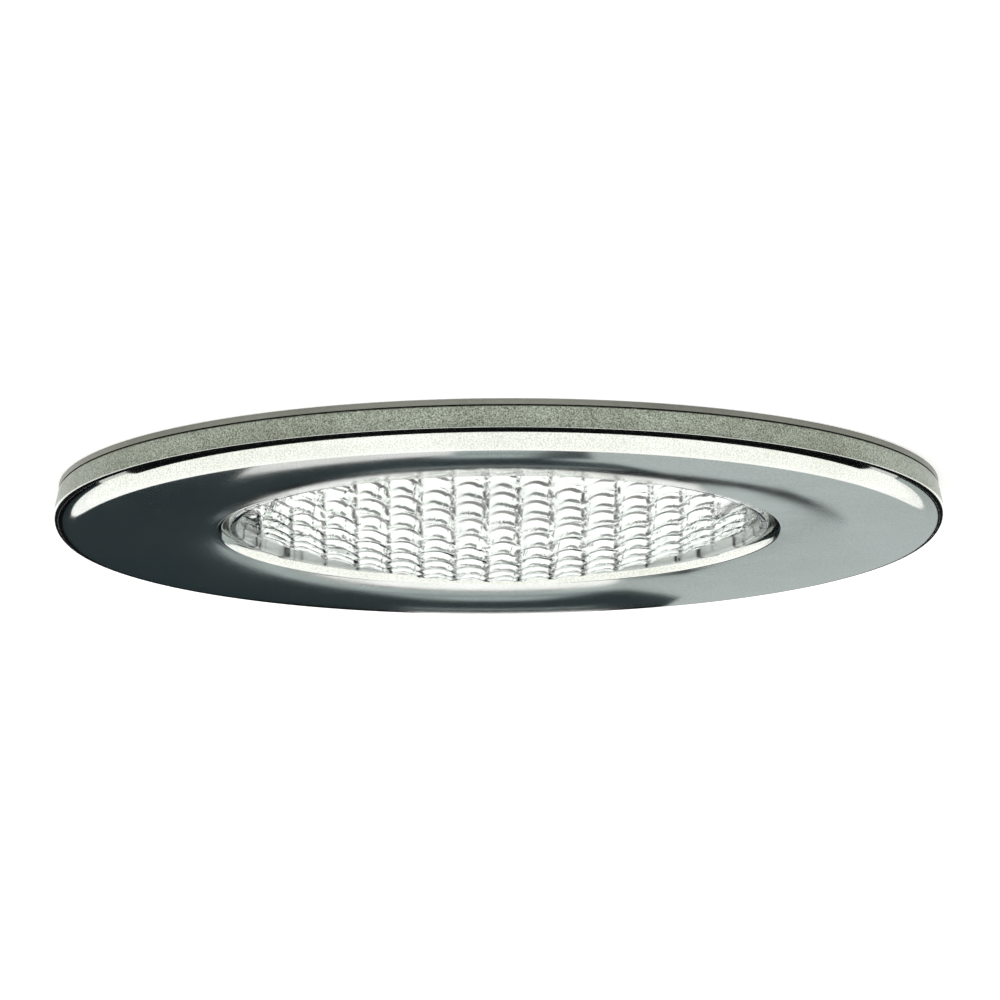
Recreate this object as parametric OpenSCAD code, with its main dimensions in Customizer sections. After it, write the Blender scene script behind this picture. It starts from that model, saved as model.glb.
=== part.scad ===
// Recessed soffit downlight: a twist-off trim ring with a domed prismatic glass, on a sprung can.
// Millimetres. The origin is the centre of the seat on the soffit, and +Z points up into the ceiling.

/* [Trim ring] */
// Overall diameter of the trim ring
bezel_d = 68; // [62:0.5:76]
// Depth of the ring's lowest edge below the soffit
bezel_h = 3.75; // [3.5:0.05:5]
// Radius of the rounded outer edge of the face
edge_round = 1.5; // [0.8:0.1:1.8]
// How much the side of the ring widens from its top to its rounded edge
side_flare = 0.34; // [0.1:0.02:0.6]
// Thickness of the side wall
side_wall = 1.36; // [1:0.02:1.5]
// Diameter of the opening that the glass shows through
opening_d = 41.8; // [38:0.2:46]
// Radius of the rounded inner lip
lip_round = 0.75; // [0.5:0.05:1.6]
// How far the face rises from its outer edge to the lip
face_dish = 0.3; // [0:0.05:0.35]
// Wall of the neck that holds the glass
neck_wall = 1.6; // [1.4:0.1:1.8]

/* [Prismatic glass] */
// Outer radius of curvature of the dome
dome_r = 48.6; // [34:0.1:60]
// Thickness of the glass
glass_t = 2.5; // [2:0.1:3]
// Straight edge of the glass below its rim
dome_step = 1.9; // [0.3:0.05:2.1]
// How far the dome stands out below the straight edge
dome_drop = 3.43; // [2:0.01:4.5]
// Width of the flat border round the dome
border_w = 1.5; // [1:0.1:2]
// Thickness of the flat rim
rim_t = 2.2; // [1.8:0.1:2.6]
// How far the rim reaches out past the opening
rim_reach = 2; // [1.6:0.1:2.2]
// Thickness of the gasket under the rim
gasket_t = 0.4; // [0.3:0.05:0.6]
// Thickness of the snap ring that holds the glass
retainer_t = 0.8; // [0.6:0.1:1]
// Radial width of the snap ring
retainer_w = 1.8; // [1.5:0.1:2]

/* [Bayonet] */
// Number of lugs on the neck
lug_count = 3; // [2:1:3]
// Angle that one lug covers, in degrees
lug_angle = 24; // [16:1:26]
// Turn of the trim ring from locked to free, in degrees
turn_angle = 22; // [16:1:24]
// Radial reach of a lug
lug_reach = 2.1; // [1.9:0.1:2.2]
// Thickness of a lug
lug_t = 1.5; // [1:0.1:1.8]
// Thickness of the pressed ring that the lugs lock over
bayonet_t = 0.8; // [0.6:0.1:1]
// Running gap between the turning parts
turn_gap = 0.3; // [0.2:0.05:0.4]

/* [Mounting flange] */
// Thickness of the flange edge that shows above the trim ring
strip_t = 0.42; // [0.3:0.02:0.6]
// Thickness of the flange hub
hub_t = 1; // [0.9:0.05:1.2]
// Wall of the spigot in the soffit hole
spigot_wall = 1.2; // [1:0.1:1.4]
// Height of the flange web above the soffit
web_z = 3.6; // [3.5:0.1:5]
// Thickness of the flange web
web_t = 1; // [0.8:0.1:1.4]
// Radial width of the soffit gasket
soffit_gasket_w = 2; // [1.4:0.1:2]
// Thickness of the soffit gasket
soffit_gasket_t = 0.6; // [0.4:0.05:0.6]
// Thickness of the seal behind the trim ring
seal_t = 1; // [0.9:0.05:1.3]

/* [Can and reflector] */
// Wall of the can
can_wall = 0.8; // [0.6:0.1:0.9]
// Height of the can's top above the soffit
can_top = 19.2; // [19:0.1:22]
// Width of the can's foot on the flange
foot_w = 3.1; // [2.9:0.1:3.4]
// Wall of the reflector pan
pan_wall = 0.4; // [0.3:0.05:0.5]
// Gap between reflector pan and can
pan_gap = 0.6; // [0.5:0.05:0.7]

/* [Lamp] */
// Diameter of the capsule
lamp_d = 9.5; // [8.5:0.1:9.6]
// Length of the capsule without its pins
lamp_len = 22; // [20:0.5:22]
// Diameter of a pin
pin_d = 0.7; // [0.65:0.05:0.75]
// Distance between the two pins
pin_pitch = 4; // [3.8:0.1:4.2]
// Free length of the pins
pin_len = 7.2; // [6.5:0.1:7.2]
// Height of the lamp's axis above the soffit
lamp_z = 11.5; // [11:0.1:11.7]
// Depth of the lampholder along the lamp
holder_len = 9; // [8.6:0.1:9.2]
// Width of the lampholder
holder_w = 16; // [14:0.5:16]
// Height of the lampholder
holder_h = 9; // [8:0.1:9]
// Thickness of the bracket's sheet
bracket_t = 0.8; // [0.6:0.1:0.9]
// Diameter of an internal lead
lead_d = 1.6; // [1.4:0.1:1.7]

/* [Junction box] */
// How far the ends of the box stand in from the can's side
box_gap = 5.9; // [5.6:0.1:6.2]
// Width of the box
box_w = 26; // [26:0.5:28]
// Height of the box over the can, without its lid
box_h = 12.8; // [12.6:0.1:16]
// Wall of the box
box_wall = 1.4; // [1.2:0.1:1.6]
// Thickness of the lid
lid_t = 1.4; // [1.2:0.1:2]
// Diameter of the cable that the grommet takes
cable_d = 6.2; // [5.6:0.1:6.4]
// Length of the cable grommet
grommet_l = 6; // [5.6:0.1:8]
// Height of the terminal block
block_h = 10; // [9.4:0.1:10]

/* [Spring clips] */
// How far a clip's pivot stands out from its plate
pivot_reach = 1.85; // [1.8:0.05:1.95]
// Height of the pivot above the soffit
pivot_z = 12; // [11.6:0.1:12.4]
// Thickness of the thinnest board that the clips hold
board_min = 6; // [5.6:0.1:6.2]
// Reach of an arm from its pivot to its tip
arm_reach = 23.2; // [22.4:0.1:26]
// Thickness of the arm
arm_t = 0.8; // [0.6:0.1:0.8]
// Width of the arm
arm_w = 10.2; // [9.8:0.1:10.4]
// Diameter of the clip's hinge pin
clip_pin_d = 1.6; // [1.4:0.1:1.8]
// Diameter of the spring wire
wire_d = 0.6; // [0.5:0.05:0.6]
// Distance from one curl of the spring to the next
curl_pitch = 1.15; // [1.1:0.01:1.3]
// Whole turns of the spring
curls = 4; // [3:1:5]

/* [Hidden] */
$fn = 96;
eps = 0.01;        // how far a cutting shape runs past the face that it cuts
skin = 0.05;       // gap round a piece that is fixed in a hole
fit = 0.07;        // radial gap of a pin that slides or turns in its hole
arc_steps = 12;    // segments in a quarter of a rounded profile

// Trim ring, glass and bayonet, from the opening outwards. The widths are those of a face of
// usual_face, and they widen and narrow with the face.
opening_r = opening_d / 2;
usual_face = 13.1;
spread = (bezel_d / 2 - opening_r) / usual_face;
rim_gap = 0.4;
rim_r = opening_r + spread * rim_reach;
neck_ri = rim_r + spread * rim_gap;
neck_ro = neck_ri + spread * neck_wall;
bore_r = neck_ro + turn_gap;
lug_out = spread * lug_reach;
lug_r = neck_ro + lug_out;
chamber_r = lug_r + turn_gap;
spigot_r = chamber_r + spread * spigot_wall;
bayonet_edge = 0.7;
bayonet_r = spigot_r + spread * bayonet_edge;
side_top_r = bezel_d / 2 - spread * side_flare;
side_ri = side_top_r - spread * side_wall;
side_gap = 0.4;
hub_r = side_ri - spread * side_gap;
joint_line = 0.08; // the fine line between the flange edge and the trim ring
strip_r = side_top_r - joint_line;

// Heights, from the soffit down and then up
shelf_z = -(hub_t + seal_t + turn_gap);
face_z = -bezel_h;
lip_z = face_z + face_dish;
ledge_z = -1.75;
rim_z = ledge_z + gasket_t;
dome_gap = 0.3;
body_r = opening_r - dome_gap;
dome_low = rim_z - dome_step - dome_drop;
dome_c = dome_low + dome_r;
rim_root = 1;
retainer_gap = 0.2;
retainer_z = rim_z + rim_t + retainer_gap;
retainer_gap_angle = 16;
eye_r = 1.3;       // the two eyes that pliers take hold of
eye_in = 0.3;
eye_angle = 3.4;
groove_depth = 0.8;
groove_r = neck_ri + groove_depth;
neck_end = 1.05;
neck_top = retainer_z + retainer_t + neck_end;
lug_drop = 0.1;
lug_z = -hub_t + lug_drop;
lug_root = 0.4;

// Bayonet: the lugs stand at first_lug and every lug_step after it when the ring is locked
lug_step = 360 / lug_count;
first_lug = 90;
notch_spare = 3;   // how much wider a notch is than its lug, in degrees
boss_turn = 51;    // from a lug to the next screw boss, in degrees
boss_r = 1.6;
boss_in = 1.8;
boss_at = bore_r + spread * boss_in;
screw_r = 0.8;
screw_core = screw_r + skin;
screw_head_r = 1.6;
screw_tip = 2.4;
screw_room = 0.4;
slot_w = 0.4;      // width of the slots in the screw heads
slot_t = 0.45;
slot_l = 1.8;
stop_w = 1.4;
stop_h = 0.9;
stop_in = 0.2;
stop_l = lug_out - stop_in - turn_gap;
stop_turn = 1;     // play of a locked lug at its stop, in degrees

// Gaskets
gasket_edge = 0.5;
soffit_gasket_r = spigot_r + spread * gasket_edge;
soffit_gasket_ro = soffit_gasket_r + spread * soffit_gasket_w;
seal_gap = 0.3;
seal_edge = 0.7;
seal_r = bayonet_r + spread * seal_gap;
seal_w = hub_r - spread * seal_edge - seal_r;
glass_gasket_gap = 0.2;

// Can, reflector and their rivets
can_r = rim_r;
can_ri = can_r - can_wall;
web_lip = 0.1;
web_ri = can_ri - web_lip;
web_top = web_z + web_t;
pan_ro = can_ri - pan_gap;
pan_ri = pan_ro - pan_wall;
pan_round = 1;
pan_top = can_top - can_wall;
pan_in = pan_top - pan_wall;
pan_rise = 0.2;
pan_low = web_top + pan_rise;
can_round = 1.6;
foot_r = can_r + foot_w;
rivet_r = 0.8;
rivet_head_r = 1.4;
rivet_head_t = 0.5;
rivet_tail_r = 1.2;
rivet_tail_t = 0.35;
rivet_off = 1.7;
foot_rivet_at = can_r + rivet_off;
foot_rivet_turn = 30;

// Lampholder and lamp, along local X with the pins towards -X
leg_gap = 1.7;
leg_x = -(pan_ri - leg_gap);
holder_x = leg_x + bracket_t;
holder_front = holder_x + holder_len;
seat_gap = 0.2;
lamp_x = holder_front + seat_gap;
lamp_r = lamp_d / 2;
lamp_tip = lamp_x + lamp_len;
pinch_l = 4.4;
pinch_w = 8;
pinch_t = 3;
bulb_wall = 1;
bulb_x = lamp_x + pinch_l;
support_r = 0.15;
bulb_end = 2;
foil_gap = 0.1;
filament_in = 6;
filament_x = bulb_x + filament_in;
filament_r = 0.4;
filament_over = 0.8;
filament_l = pin_pitch + filament_over;
pin_r = pin_d / 2;
pin_in = 1.9;
contact_ro = 1.1;
contact_ri = pin_r + fit;
contact_inset = 1.6;
contact_back = holder_x + contact_inset;
contact_mouth = 0.6;
contact_front = holder_front - contact_mouth;
contact_end = 0.2;
pin_hole_r = 0.6;
leg_w = 14;
leg_over = 0.5;
leg_low = lamp_z - holder_h / 2 - leg_over;
leg_high = lamp_z + holder_h / 2 - 2 * leg_over;
neck_w = 9;
shelf_l = 4;
shelf_end = leg_x + shelf_l;
holder_screw_dz = 3;
holder_screw_r = 0.9;
holder_screw_head = 1.5;
holder_screw_len = 5;
holder_screw_head_t = 0.7;
screw_end = 0.3;
bracket_rivet_x = (holder_x + shelf_end) / 2;
bracket_rivet_y = 2.6;
lead_r = lead_d / 2;
holder_top = lamp_z + holder_h / 2;
lead_sink = 1;

// Bushing for the leads
bushing_r = 2.6;
bushing_flange_r = 3.2;
bushing_foot_r = 3;
bushing_flange_t = 0.9;
bushing_foot_t = 0.7;
bushing_gap = 0.4;
bushing_x = shelf_end + bushing_gap + bushing_foot_r;
bushing_y = 1.3;
bushing_room = 0.15;
lead_exit_x = bushing_x;

// Junction box, along the same local X
box_l = 2 * (can_r - box_gap);
box_rise = 0.6;
floor_t = 1.4;
floor_z = can_top + box_rise;
floor_top = floor_z + floor_t;
box_top = can_top + box_h;
box_in_l = box_l - 2 * box_wall;
box_in_w = box_w - 2 * box_wall;
inlet_rise = 4.8;
inlet_z = floor_top + inlet_rise;
cable_r = cable_d / 2;
grip_inset = 5.8;
grip_l = 3.4;
grip_x = box_l / 2 - grip_inset;
grip_w = 14.4;
grip_t = 3;
grip_rim = 1;
grip_post_r = 1.7;
grip_post_y = 5.3;
grip_gap = 0.2;
grip_z = inlet_z + grip_gap;
grip_screw_r = 0.9;
grip_screw_head = 1.5;
grip_screw_head_t = 0.9;
grip_screw_len = 3;
block_gap = 6;
block_share = 0.77; // how much of the way to the cord clamp the terminal block takes
block_x = bushing_x + block_gap;
block_l = block_share * (grip_x - grip_l / 2 - block_x);
block_w = 16;
pole_y = 4;
clamp_ro = 2.2;
clamp_ri = 1.1;
clamp_inset = 1;
clamp_x = block_x + clamp_inset;
clamp_l = block_l - 2 * clamp_inset;
terminal_screw_at = 0.22;
terminal_screw_x = [clamp_x + terminal_screw_at * clamp_l, clamp_x + (1 - terminal_screw_at) * clamp_l];
terminal_screw_r = 1.1;
terminal_head_r = 1.6;
terminal_well_r = 1.75;
terminal_sink = 1;
terminal_neck = 0.4;
wire_room = 0.2;
lead_in = 3;
lead_end_x = clamp_x + lead_in;
box_screw_r = 1;
box_screw_head = 1.8;
box_screw_head_t = 1.1;
box_boss_r = 2.1;
box_screw_y = box_w / 2 - box_wall - box_boss_r - 0.2;
box_screws = [[-box_l / 2 + 7.5, box_screw_y], [box_l / 2 - 4.3, -box_screw_y]];
box_screw_tip = 0.9;
grommet_r = cable_r + 0.8;
grommet_lip_r = cable_r + 1.5;
grommet_neck_r = cable_r + 1.3;
grommet_nose_r = cable_r + 0.9;
grommet_lip_t = 1.2;
hinge_off = 1.4;
hinge_x = -(box_l / 2 + hinge_off);
hinge_rise = 0.2;
hinge_z = box_top + hinge_rise;
hinge_r = 1.5;
lid_knuckle_r = 1.2;
pin_over = 0.4;
hinge_pin_r = 0.8;
knuckle_l = 5;
knuckle_gap = 0.3;
lid_rim_h = 1.2;
lid_rim_t = 1;
lid_gap = 0.3;
thumb_l = 1.5;
thumb_w = 8;
corner_r = 2;

// Spring clips: u runs out from the pivot, w runs up from it, and y along its pin
plate_t = 0.8;
plate_x = can_r + skin;
plate_out = plate_x + plate_t;
pivot_r = plate_out + pivot_reach;
plate_low = 6.2;
plate_high = 17.2;
ear_t = 0.7;
ear_gap = 0.3;
arm_ear_t = 0.6;
bracket_ear_y = arm_w / 2 + ear_gap;
bracket_w = 2 * (bracket_ear_y + ear_t);
ear_r = 1.7;
clip_pin_r = clip_pin_d / 2;
clip_pin_head_r = 1.2;
clip_pin_head_t = 0.5;
plate_u = -pivot_reach;
heel_gap = 0.1;
heel_w = -1.6;
heel_u = plate_u + heel_gap;
heel_end = 0.6;
cheek_u = 0.4;     // where an ear's upper edge leaves its round end
cheek_w = 1.65;
cheek_l = 4.5;     // how far the ears run along the strip
cheek_top = -0.8;
cheek_low = -1.3;
coil_r = 1.45;
wire_r = wire_d / 2;
arm_start = [2.5, -0.1];
pad_t = 1.5;
foot_w_z = board_min + pad_t + arm_t / 2 - pivot_z;
foot_l = 4;
toe_l = 1.7;
toe_rise = 1.2;
toe_u = arm_reach - toe_l;
foot_u = toe_u - foot_l;
arm_path = [arm_start, [foot_u, foot_w_z], [toe_u, foot_w_z], [arm_reach, foot_w_z + toe_rise]];
arm_slope = atan2(arm_start[1] - foot_w_z, foot_u - arm_start[0]);
pad_gap = 0.3;
pad_end = 0.1;
pad_u = foot_u + pad_gap;
pad_l = foot_l - pad_gap - pad_end;
pad_over = 0.5;
pad_side = 0.6;
low_rivet = 1.8;
high_rivet = 1.2;
clip_rivet_z = [plate_low + low_rivet, plate_high - high_rivet];
clip_rivet_tail = 0.25;
clip_rivet_sink = 0.5;
spring_leg = 5;
spring_reach = 9;
ring_count = 8;    // rings in one turn of the spring
wire_sides = 6;
lead_sides = 8;

function unit(v) = v / norm(v);

// Points of an arc about c, from angle a to angle b
function arc(c, r, a, b) =
    [for (i = [0:arc_steps]) let (t = a + (b - a) * i / arc_steps) c + r * [cos(t), sin(t)]];

// Direction of a path at its point i
function heading(path, i) = unit(path[min(i + 1, len(path) - 1)] - path[max(i - 1, 0)]);

// Corner i of a strip of thickness t along a flat path, on side s
function strip_corner(path, t, i, s) =
    let (
        before = unit(path[max(i, 1)] - path[max(i, 1) - 1]),
        after = unit(path[min(i, len(path) - 2) + 1] - path[min(i, len(path) - 2)]),
        mid = unit(before + after),
        across = [-mid[1], mid[0]]
    )
    path[i] + s * t / 2 / (mid * after) * across;

function strip_outline(path, t) = concat(
    [for (i = [0:len(path) - 1]) strip_corner(path, t, i, 1)],
    [for (i = [len(path) - 1:-1:0]) strip_corner(path, t, i, -1)]
);

// A tube of n sides along a path that never runs parallel to ref
module swept_tube(path, r, n, ref) {
    last = len(path) - 1;
    points = [
        for (i = [0:last])
            let (t = heading(path, i), a = unit(cross(ref, t)), b = cross(t, a))
            for (k = [0:n - 1]) path[i] + r * (cos(360 * k / n) * a + sin(360 * k / n) * b)
    ];
    sides = [
        for (i = [0:last - 1], k = [0:n - 1], half = [0, 1])
            let (p = i * n + k, q = i * n + (k + 1) % n)
            half == 0 ? [p, p + n, q + n] : [p, q + n, q]
    ];
    near_cap = [for (k = [1:n - 2]) [0, k, k + 1]];
    far_cap = [for (k = [1:n - 2]) [last * n, last * n + k + 1, last * n + k]];
    polyhedron(points = points, faces = concat(sides, near_cap, far_cap));
}

// A ring of rectangular section
module ring(ri, ro, z0, z1) {
    rotate_extrude() translate([ri, z0]) square([ro - ri, z1 - z0]);
}

// A wedge of a ring, centred on an angle
module ring_part(ri, ro, z0, z1, middle, width) {
    rotate([0, 0, middle - width / 2])
        rotate_extrude(angle = width) translate([ri, z0]) square([ro - ri, z1 - z0]);
}

// Copies on a circle
module round_copies(count, r, first) {
    for (i = [0:count - 1]) rotate([0, 0, first + i * 360 / count]) translate([r, 0, 0]) children();
}

// The lamp and the junction box lie along Y
module lengthwise() {
    rotate([0, 0, 90]) children();
}

module rod(r, x0, x1, y, z) {
    translate([x0, y, z]) rotate([0, 90, 0]) cylinder(r = r, h = x1 - x0);
}

module post(r, x, y, z0, z1) {
    translate([x, y, z0]) cylinder(r = r, h = z1 - z0);
}

module block(x0, x1, w, z0, z1) {
    translate([x0, -w / 2, z0]) cube([x1 - x0, w, z1 - z0]);
}

module rounded_block(l, w, z0, z1, r) {
    union() {
        block(-l / 2 + r, l / 2 - r, w, z0, z1);
        block(-l / 2, l / 2, w - 2 * r, z0, z1);
        for (x = [-1, 1], y = [-1, 1]) post(r, x * (l / 2 - r), y * (w / 2 - r), z0, z1);
    }
}

// ---- Fixed parts round the soffit hole

module flange_bosses() {
    round_copies(lug_count, boss_at, first_lug + boss_turn) cylinder(r = boss_r, h = web_z + hub_t);
}

module mounting_flange() {
    color([0.56, 0.56, 0.53])
    difference() {
        union() {
            rotate_extrude() polygon([
                [chamber_r, -hub_t], [hub_r, -hub_t], [hub_r, -strip_t], [strip_r, -strip_t],
                [strip_r, 0], [spigot_r, 0], [spigot_r, web_top], [web_ri, web_top],
                [web_ri, web_z], [chamber_r, web_z]
            ]);
            intersection() {
                translate([0, 0, -hub_t]) flange_bosses();
                ring(bore_r, spigot_r - eps, -hub_t, web_z + eps);
            }
        }
        ring(soffit_gasket_r, soffit_gasket_ro, -soffit_gasket_t, eps);
        round_copies(lug_count, boss_at, first_lug + boss_turn)
            translate([0, 0, -hub_t - eps]) cylinder(r = screw_core, h = screw_tip + hub_t + screw_room);
        round_copies(3, foot_rivet_at, foot_rivet_turn)
            translate([0, 0, web_z - eps]) cylinder(r = rivet_r, h = web_t + 2 * eps);
    }
}

module soffit_gasket() {
    color([0.12, 0.12, 0.12])
    ring(soffit_gasket_r, soffit_gasket_ro, -soffit_gasket_t, 0);
}

module bayonet_ring() {
    top = -hub_t;
    color([0.7, 0.7, 0.7])
    difference() {
        union() {
            ring(bore_r, bayonet_r, top - bayonet_t, top);
            for (i = [0:lug_count - 1])
                rotate([0, 0, first_lug + i * lug_step + lug_angle / 2 + stop_turn])
                    translate([bore_r + stop_in, 0, top - bayonet_t / 2])
                        cube([stop_l, stop_w, bayonet_t / 2 + stop_h]);
        }
        for (i = [0:lug_count - 1])
            ring_part(bore_r - 1, chamber_r, top - bayonet_t - eps, top + eps,
                first_lug + i * lug_step - turn_angle, lug_angle + notch_spare);
        round_copies(lug_count, boss_at, first_lug + boss_turn)
            translate([0, 0, top - bayonet_t - eps])
                cylinder(r1 = screw_head_r + skin, r2 = screw_r + skin, h = bayonet_t + 2 * eps);
    }
}

module bayonet_screws() {
    color([0.75, 0.75, 0.76])
    round_copies(lug_count, boss_at, first_lug + boss_turn)
    translate([0, 0, -hub_t - bayonet_t])
    difference() {
        union() {
            cylinder(r1 = screw_head_r, r2 = screw_r, h = bayonet_t);
            cylinder(r = screw_r, h = bayonet_t + hub_t + screw_tip);
        }
        for (turn = [0, 90]) rotate([0, 0, turn]) block(-slot_l / 2, slot_l / 2, slot_w, -eps, slot_t);
    }
}

module bezel_seal() {
    color([0.16, 0.16, 0.17])
    ring(seal_r, seal_r + seal_w, -hub_t - seal_t, -hub_t);
}

// ---- Can and reflector

module housing_can() {
    corner = can_r - can_round;
    color([0.78, 0.79, 0.8])
    difference() {
        rotate_extrude() polygon(concat(
            [[0, can_top]],
            arc([corner, can_top - can_round], can_round, 90, 0),
            [[can_r, web_top + can_wall], [foot_r, web_top + can_wall], [foot_r, web_top], [can_ri, web_top]],
            arc([corner, can_top - can_round], can_round - can_wall, 0, 90),
            [[0, can_top - can_wall]]
        ));
        round_copies(3, foot_rivet_at, foot_rivet_turn)
            translate([0, 0, web_top - eps]) cylinder(r = rivet_r, h = can_wall + 2 * eps);
        lengthwise() top_holes(can_top - can_wall - eps, can_top + eps);
        for (side = [0, 180], z = clip_rivet_z)
            rotate([0, 0, side]) rod(rivet_r, -can_r - eps, -can_ri + clip_rivet_sink, 0, z);
    }
}

// Holes that the can's top and the reflector's top share
module top_holes(z0, z1) {
    post(bushing_r, bushing_x, 0, z0, z1);
    for (y = [-1, 1]) post(rivet_r, bracket_rivet_x, y * bracket_rivet_y, z0, z1);
    for (p = box_screws) post(box_screw_r, p[0], p[1], z0, z1);
}

module can_rivets() {
    color([0.7, 0.7, 0.7])
    round_copies(3, foot_rivet_at, foot_rivet_turn) {
        translate([0, 0, web_z - rivet_tail_t]) cylinder(r = rivet_tail_r, h = rivet_tail_t);
        translate([0, 0, web_z - eps]) cylinder(r = rivet_r, h = web_t + can_wall + 2 * eps);
        translate([0, 0, web_top + can_wall]) cylinder(r = rivet_head_r, h = rivet_head_t);
    }
}

module reflector() {
    corner = pan_ri - pan_round;
    color([0.93, 0.93, 0.92])
    difference() {
        rotate_extrude() polygon(concat(
            [[0, pan_top]],
            arc([corner, pan_in - pan_round], pan_round + pan_wall, 90, 0),
            [[pan_ro, pan_low], [pan_ri, pan_low]],
            arc([corner, pan_in - pan_round], pan_round, 0, 90),
            [[0, pan_in]]
        ));
        lengthwise() top_holes(pan_in - eps, pan_top + eps);
    }
}

// ---- Lampholder

module lampholder() {
    color([0.95, 0.94, 0.9])
    difference() {
        block(holder_x, holder_front, holder_w, lamp_z - holder_h / 2, holder_top);
        for (y = [-1, 1]) {
            rod(contact_ro + skin, contact_back, contact_front, y * pin_pitch / 2, lamp_z);
            rod(pin_hole_r, contact_front - eps, holder_front + eps, y * pin_pitch / 2, lamp_z);
            post(lead_r + skin, lead_exit_x, y * bushing_y, holder_top - lead_sink, holder_top + eps);
        }
        for (z = [-1, 1])
            rod(holder_screw_r, holder_x - eps, holder_x + holder_screw_len, 0, lamp_z + z * holder_screw_dz);
    }
}

module lampholder_contacts() {
    color([0.8, 0.65, 0.3])
    for (y = [-1, 1]) difference() {
        rod(contact_ro, contact_back, contact_front, y * pin_pitch / 2, lamp_z);
        rod(contact_ri, contact_back + contact_end, contact_front + eps, y * pin_pitch / 2, lamp_z);
    }
}

module lampholder_bracket() {
    color([0.72, 0.73, 0.74])
    difference() {
        union() {
            block(leg_x, holder_x, leg_w, leg_low, leg_high);
            block(leg_x, holder_x, neck_w, leg_high - eps, pan_in);
            block(leg_x, shelf_end, neck_w, pan_in - bracket_t, pan_in);
        }
        for (z = [-1, 1])
            rod(holder_screw_r, leg_x - eps, holder_x + eps, 0, lamp_z + z * holder_screw_dz);
        for (y = [-1, 1])
            post(rivet_r, bracket_rivet_x, y * bracket_rivet_y, pan_in - bracket_t - eps, pan_in + eps);
    }
}

module lampholder_screws() {
    color([0.75, 0.75, 0.76])
    for (z = [-1, 1]) translate([0, 0, lamp_z + z * holder_screw_dz]) difference() {
        union() {
            rod(holder_screw_head, leg_x - holder_screw_head_t, leg_x, 0, 0);
            rod(holder_screw_r, leg_x - eps, holder_x + holder_screw_len - screw_end, 0, 0);
        }
        block(leg_x - holder_screw_head_t - eps, leg_x - holder_screw_head_t / 2, slot_w,
            -holder_screw_head, holder_screw_head);
    }
}

module bracket_rivets() {
    low = pan_in - bracket_t;
    color([0.7, 0.7, 0.7])
    for (y = [-1, 1]) {
        post(rivet_tail_r, bracket_rivet_x, y * bracket_rivet_y, low - rivet_tail_t, low);
        post(rivet_r, bracket_rivet_x, y * bracket_rivet_y, low - eps, can_top + eps);
        post(rivet_tail_r, bracket_rivet_x, y * bracket_rivet_y, can_top, can_top + rivet_tail_t);
    }
}

// ---- Internal wiring

// Route of one lead, from the lampholder to its terminal, on the side of y. Along it, out is how
// far the lead has gone from the bushing to the block, and wide how far it has spread.
rise_z = can_top + bushing_flange_t;
function between(a, b, f) = a + (b - a) * f;
function lead_point(y, out, wide, up) = [
    between(bushing_x, block_x, out), y * between(bushing_y, pole_y, wide), between(rise_z, inlet_z, up)
];
function lead_route(y) = concat(
    [[lead_exit_x, y * bushing_y, holder_top - lead_sink], [bushing_x, y * bushing_y, pan_in]],
    [for (f = [0, 0.25, 0.5, 0.75]) lead_point(y, f * f, f * f, sin(90 * f))],
    [[block_x, y * pole_y, inlet_z], [lead_end_x, y * pole_y, inlet_z]]
);

module lead(y) {
    swept_tube(lead_route(y), lead_r, lead_sides, [0, 1, 0]);
}

module lead_live() {
    color([0.75, 0.1, 0.1]) lead(1);
}

module lead_neutral() {
    color([0.1, 0.1, 0.12]) lead(-1);
}

module lead_bushing() {
    color([0.55, 0.2, 0.15])
    difference() {
        union() {
            post(bushing_r - skin, bushing_x, 0, pan_in - eps, can_top + eps);
            post(bushing_foot_r, bushing_x, 0, pan_in - bushing_foot_t, pan_in);
            post(bushing_flange_r, bushing_x, 0, can_top, can_top + bushing_flange_t);
        }
        for (y = [-1, 1])
            post(lead_r + skin, bushing_x, y * bushing_y, pan_in - bushing_foot_t - eps,
                can_top + bushing_flange_t + eps);
    }
}

// ---- Junction box

module hinge_knuckles(r) {
    for (y = [-1, 1]) translate([hinge_x, y * (knuckle_l + knuckle_gap) - knuckle_l / 2, hinge_z])
        rotate([-90, 0, 0]) cylinder(r = r, h = knuckle_l);
}

module junction_box() {
    color([0.9, 0.9, 0.88])
    difference() {
        union() {
            difference() {
                rounded_block(box_l, box_w, can_top, box_top, corner_r);
                rounded_block(box_in_l, box_in_w, floor_top, box_top + eps, corner_r - box_wall / 2);
                rounded_block(box_in_l, box_in_w, can_top - eps, floor_z, corner_r - box_wall / 2);
            }
            for (p = box_screws) post(box_boss_r, p[0], p[1], can_top, floor_top);
            for (y = [-1, 1]) post(grip_post_r, grip_x, y * grip_post_y, floor_top - eps, grip_z);
            difference() {
                union() {
                    hinge_knuckles(hinge_r);
                    for (y = [-1, 1])
                        translate([hinge_x, y * (knuckle_l + knuckle_gap) - knuckle_l / 2, hinge_z - hinge_r])
                            cube([-box_l / 2 - hinge_x + eps, knuckle_l, hinge_r - knuckle_gap]);
                }
                hinge_bore(hinge_pin_r);
            }
        }
        post(bushing_flange_r + bushing_room, bushing_x, 0, floor_z - eps, floor_top + eps);
        for (y = [-1, 1])
            post(rivet_tail_r + bushing_room, bracket_rivet_x, y * bracket_rivet_y, can_top - eps, floor_z);
        for (p = box_screws) post(box_screw_r, p[0], p[1], can_top - eps, floor_top + eps);
        for (y = [-1, 1]) post(grip_screw_r, grip_x, y * grip_post_y, grip_z - grip_screw_len, grip_z + eps);
        rod(grommet_r + skin, box_l / 2 - box_wall - eps, box_l / 2 + eps, 0, inlet_z);
    }
}

module hinge_bore(r) {
    translate([hinge_x, -box_w / 2, hinge_z]) rotate([-90, 0, 0]) cylinder(r = r, h = box_w);
}

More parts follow.
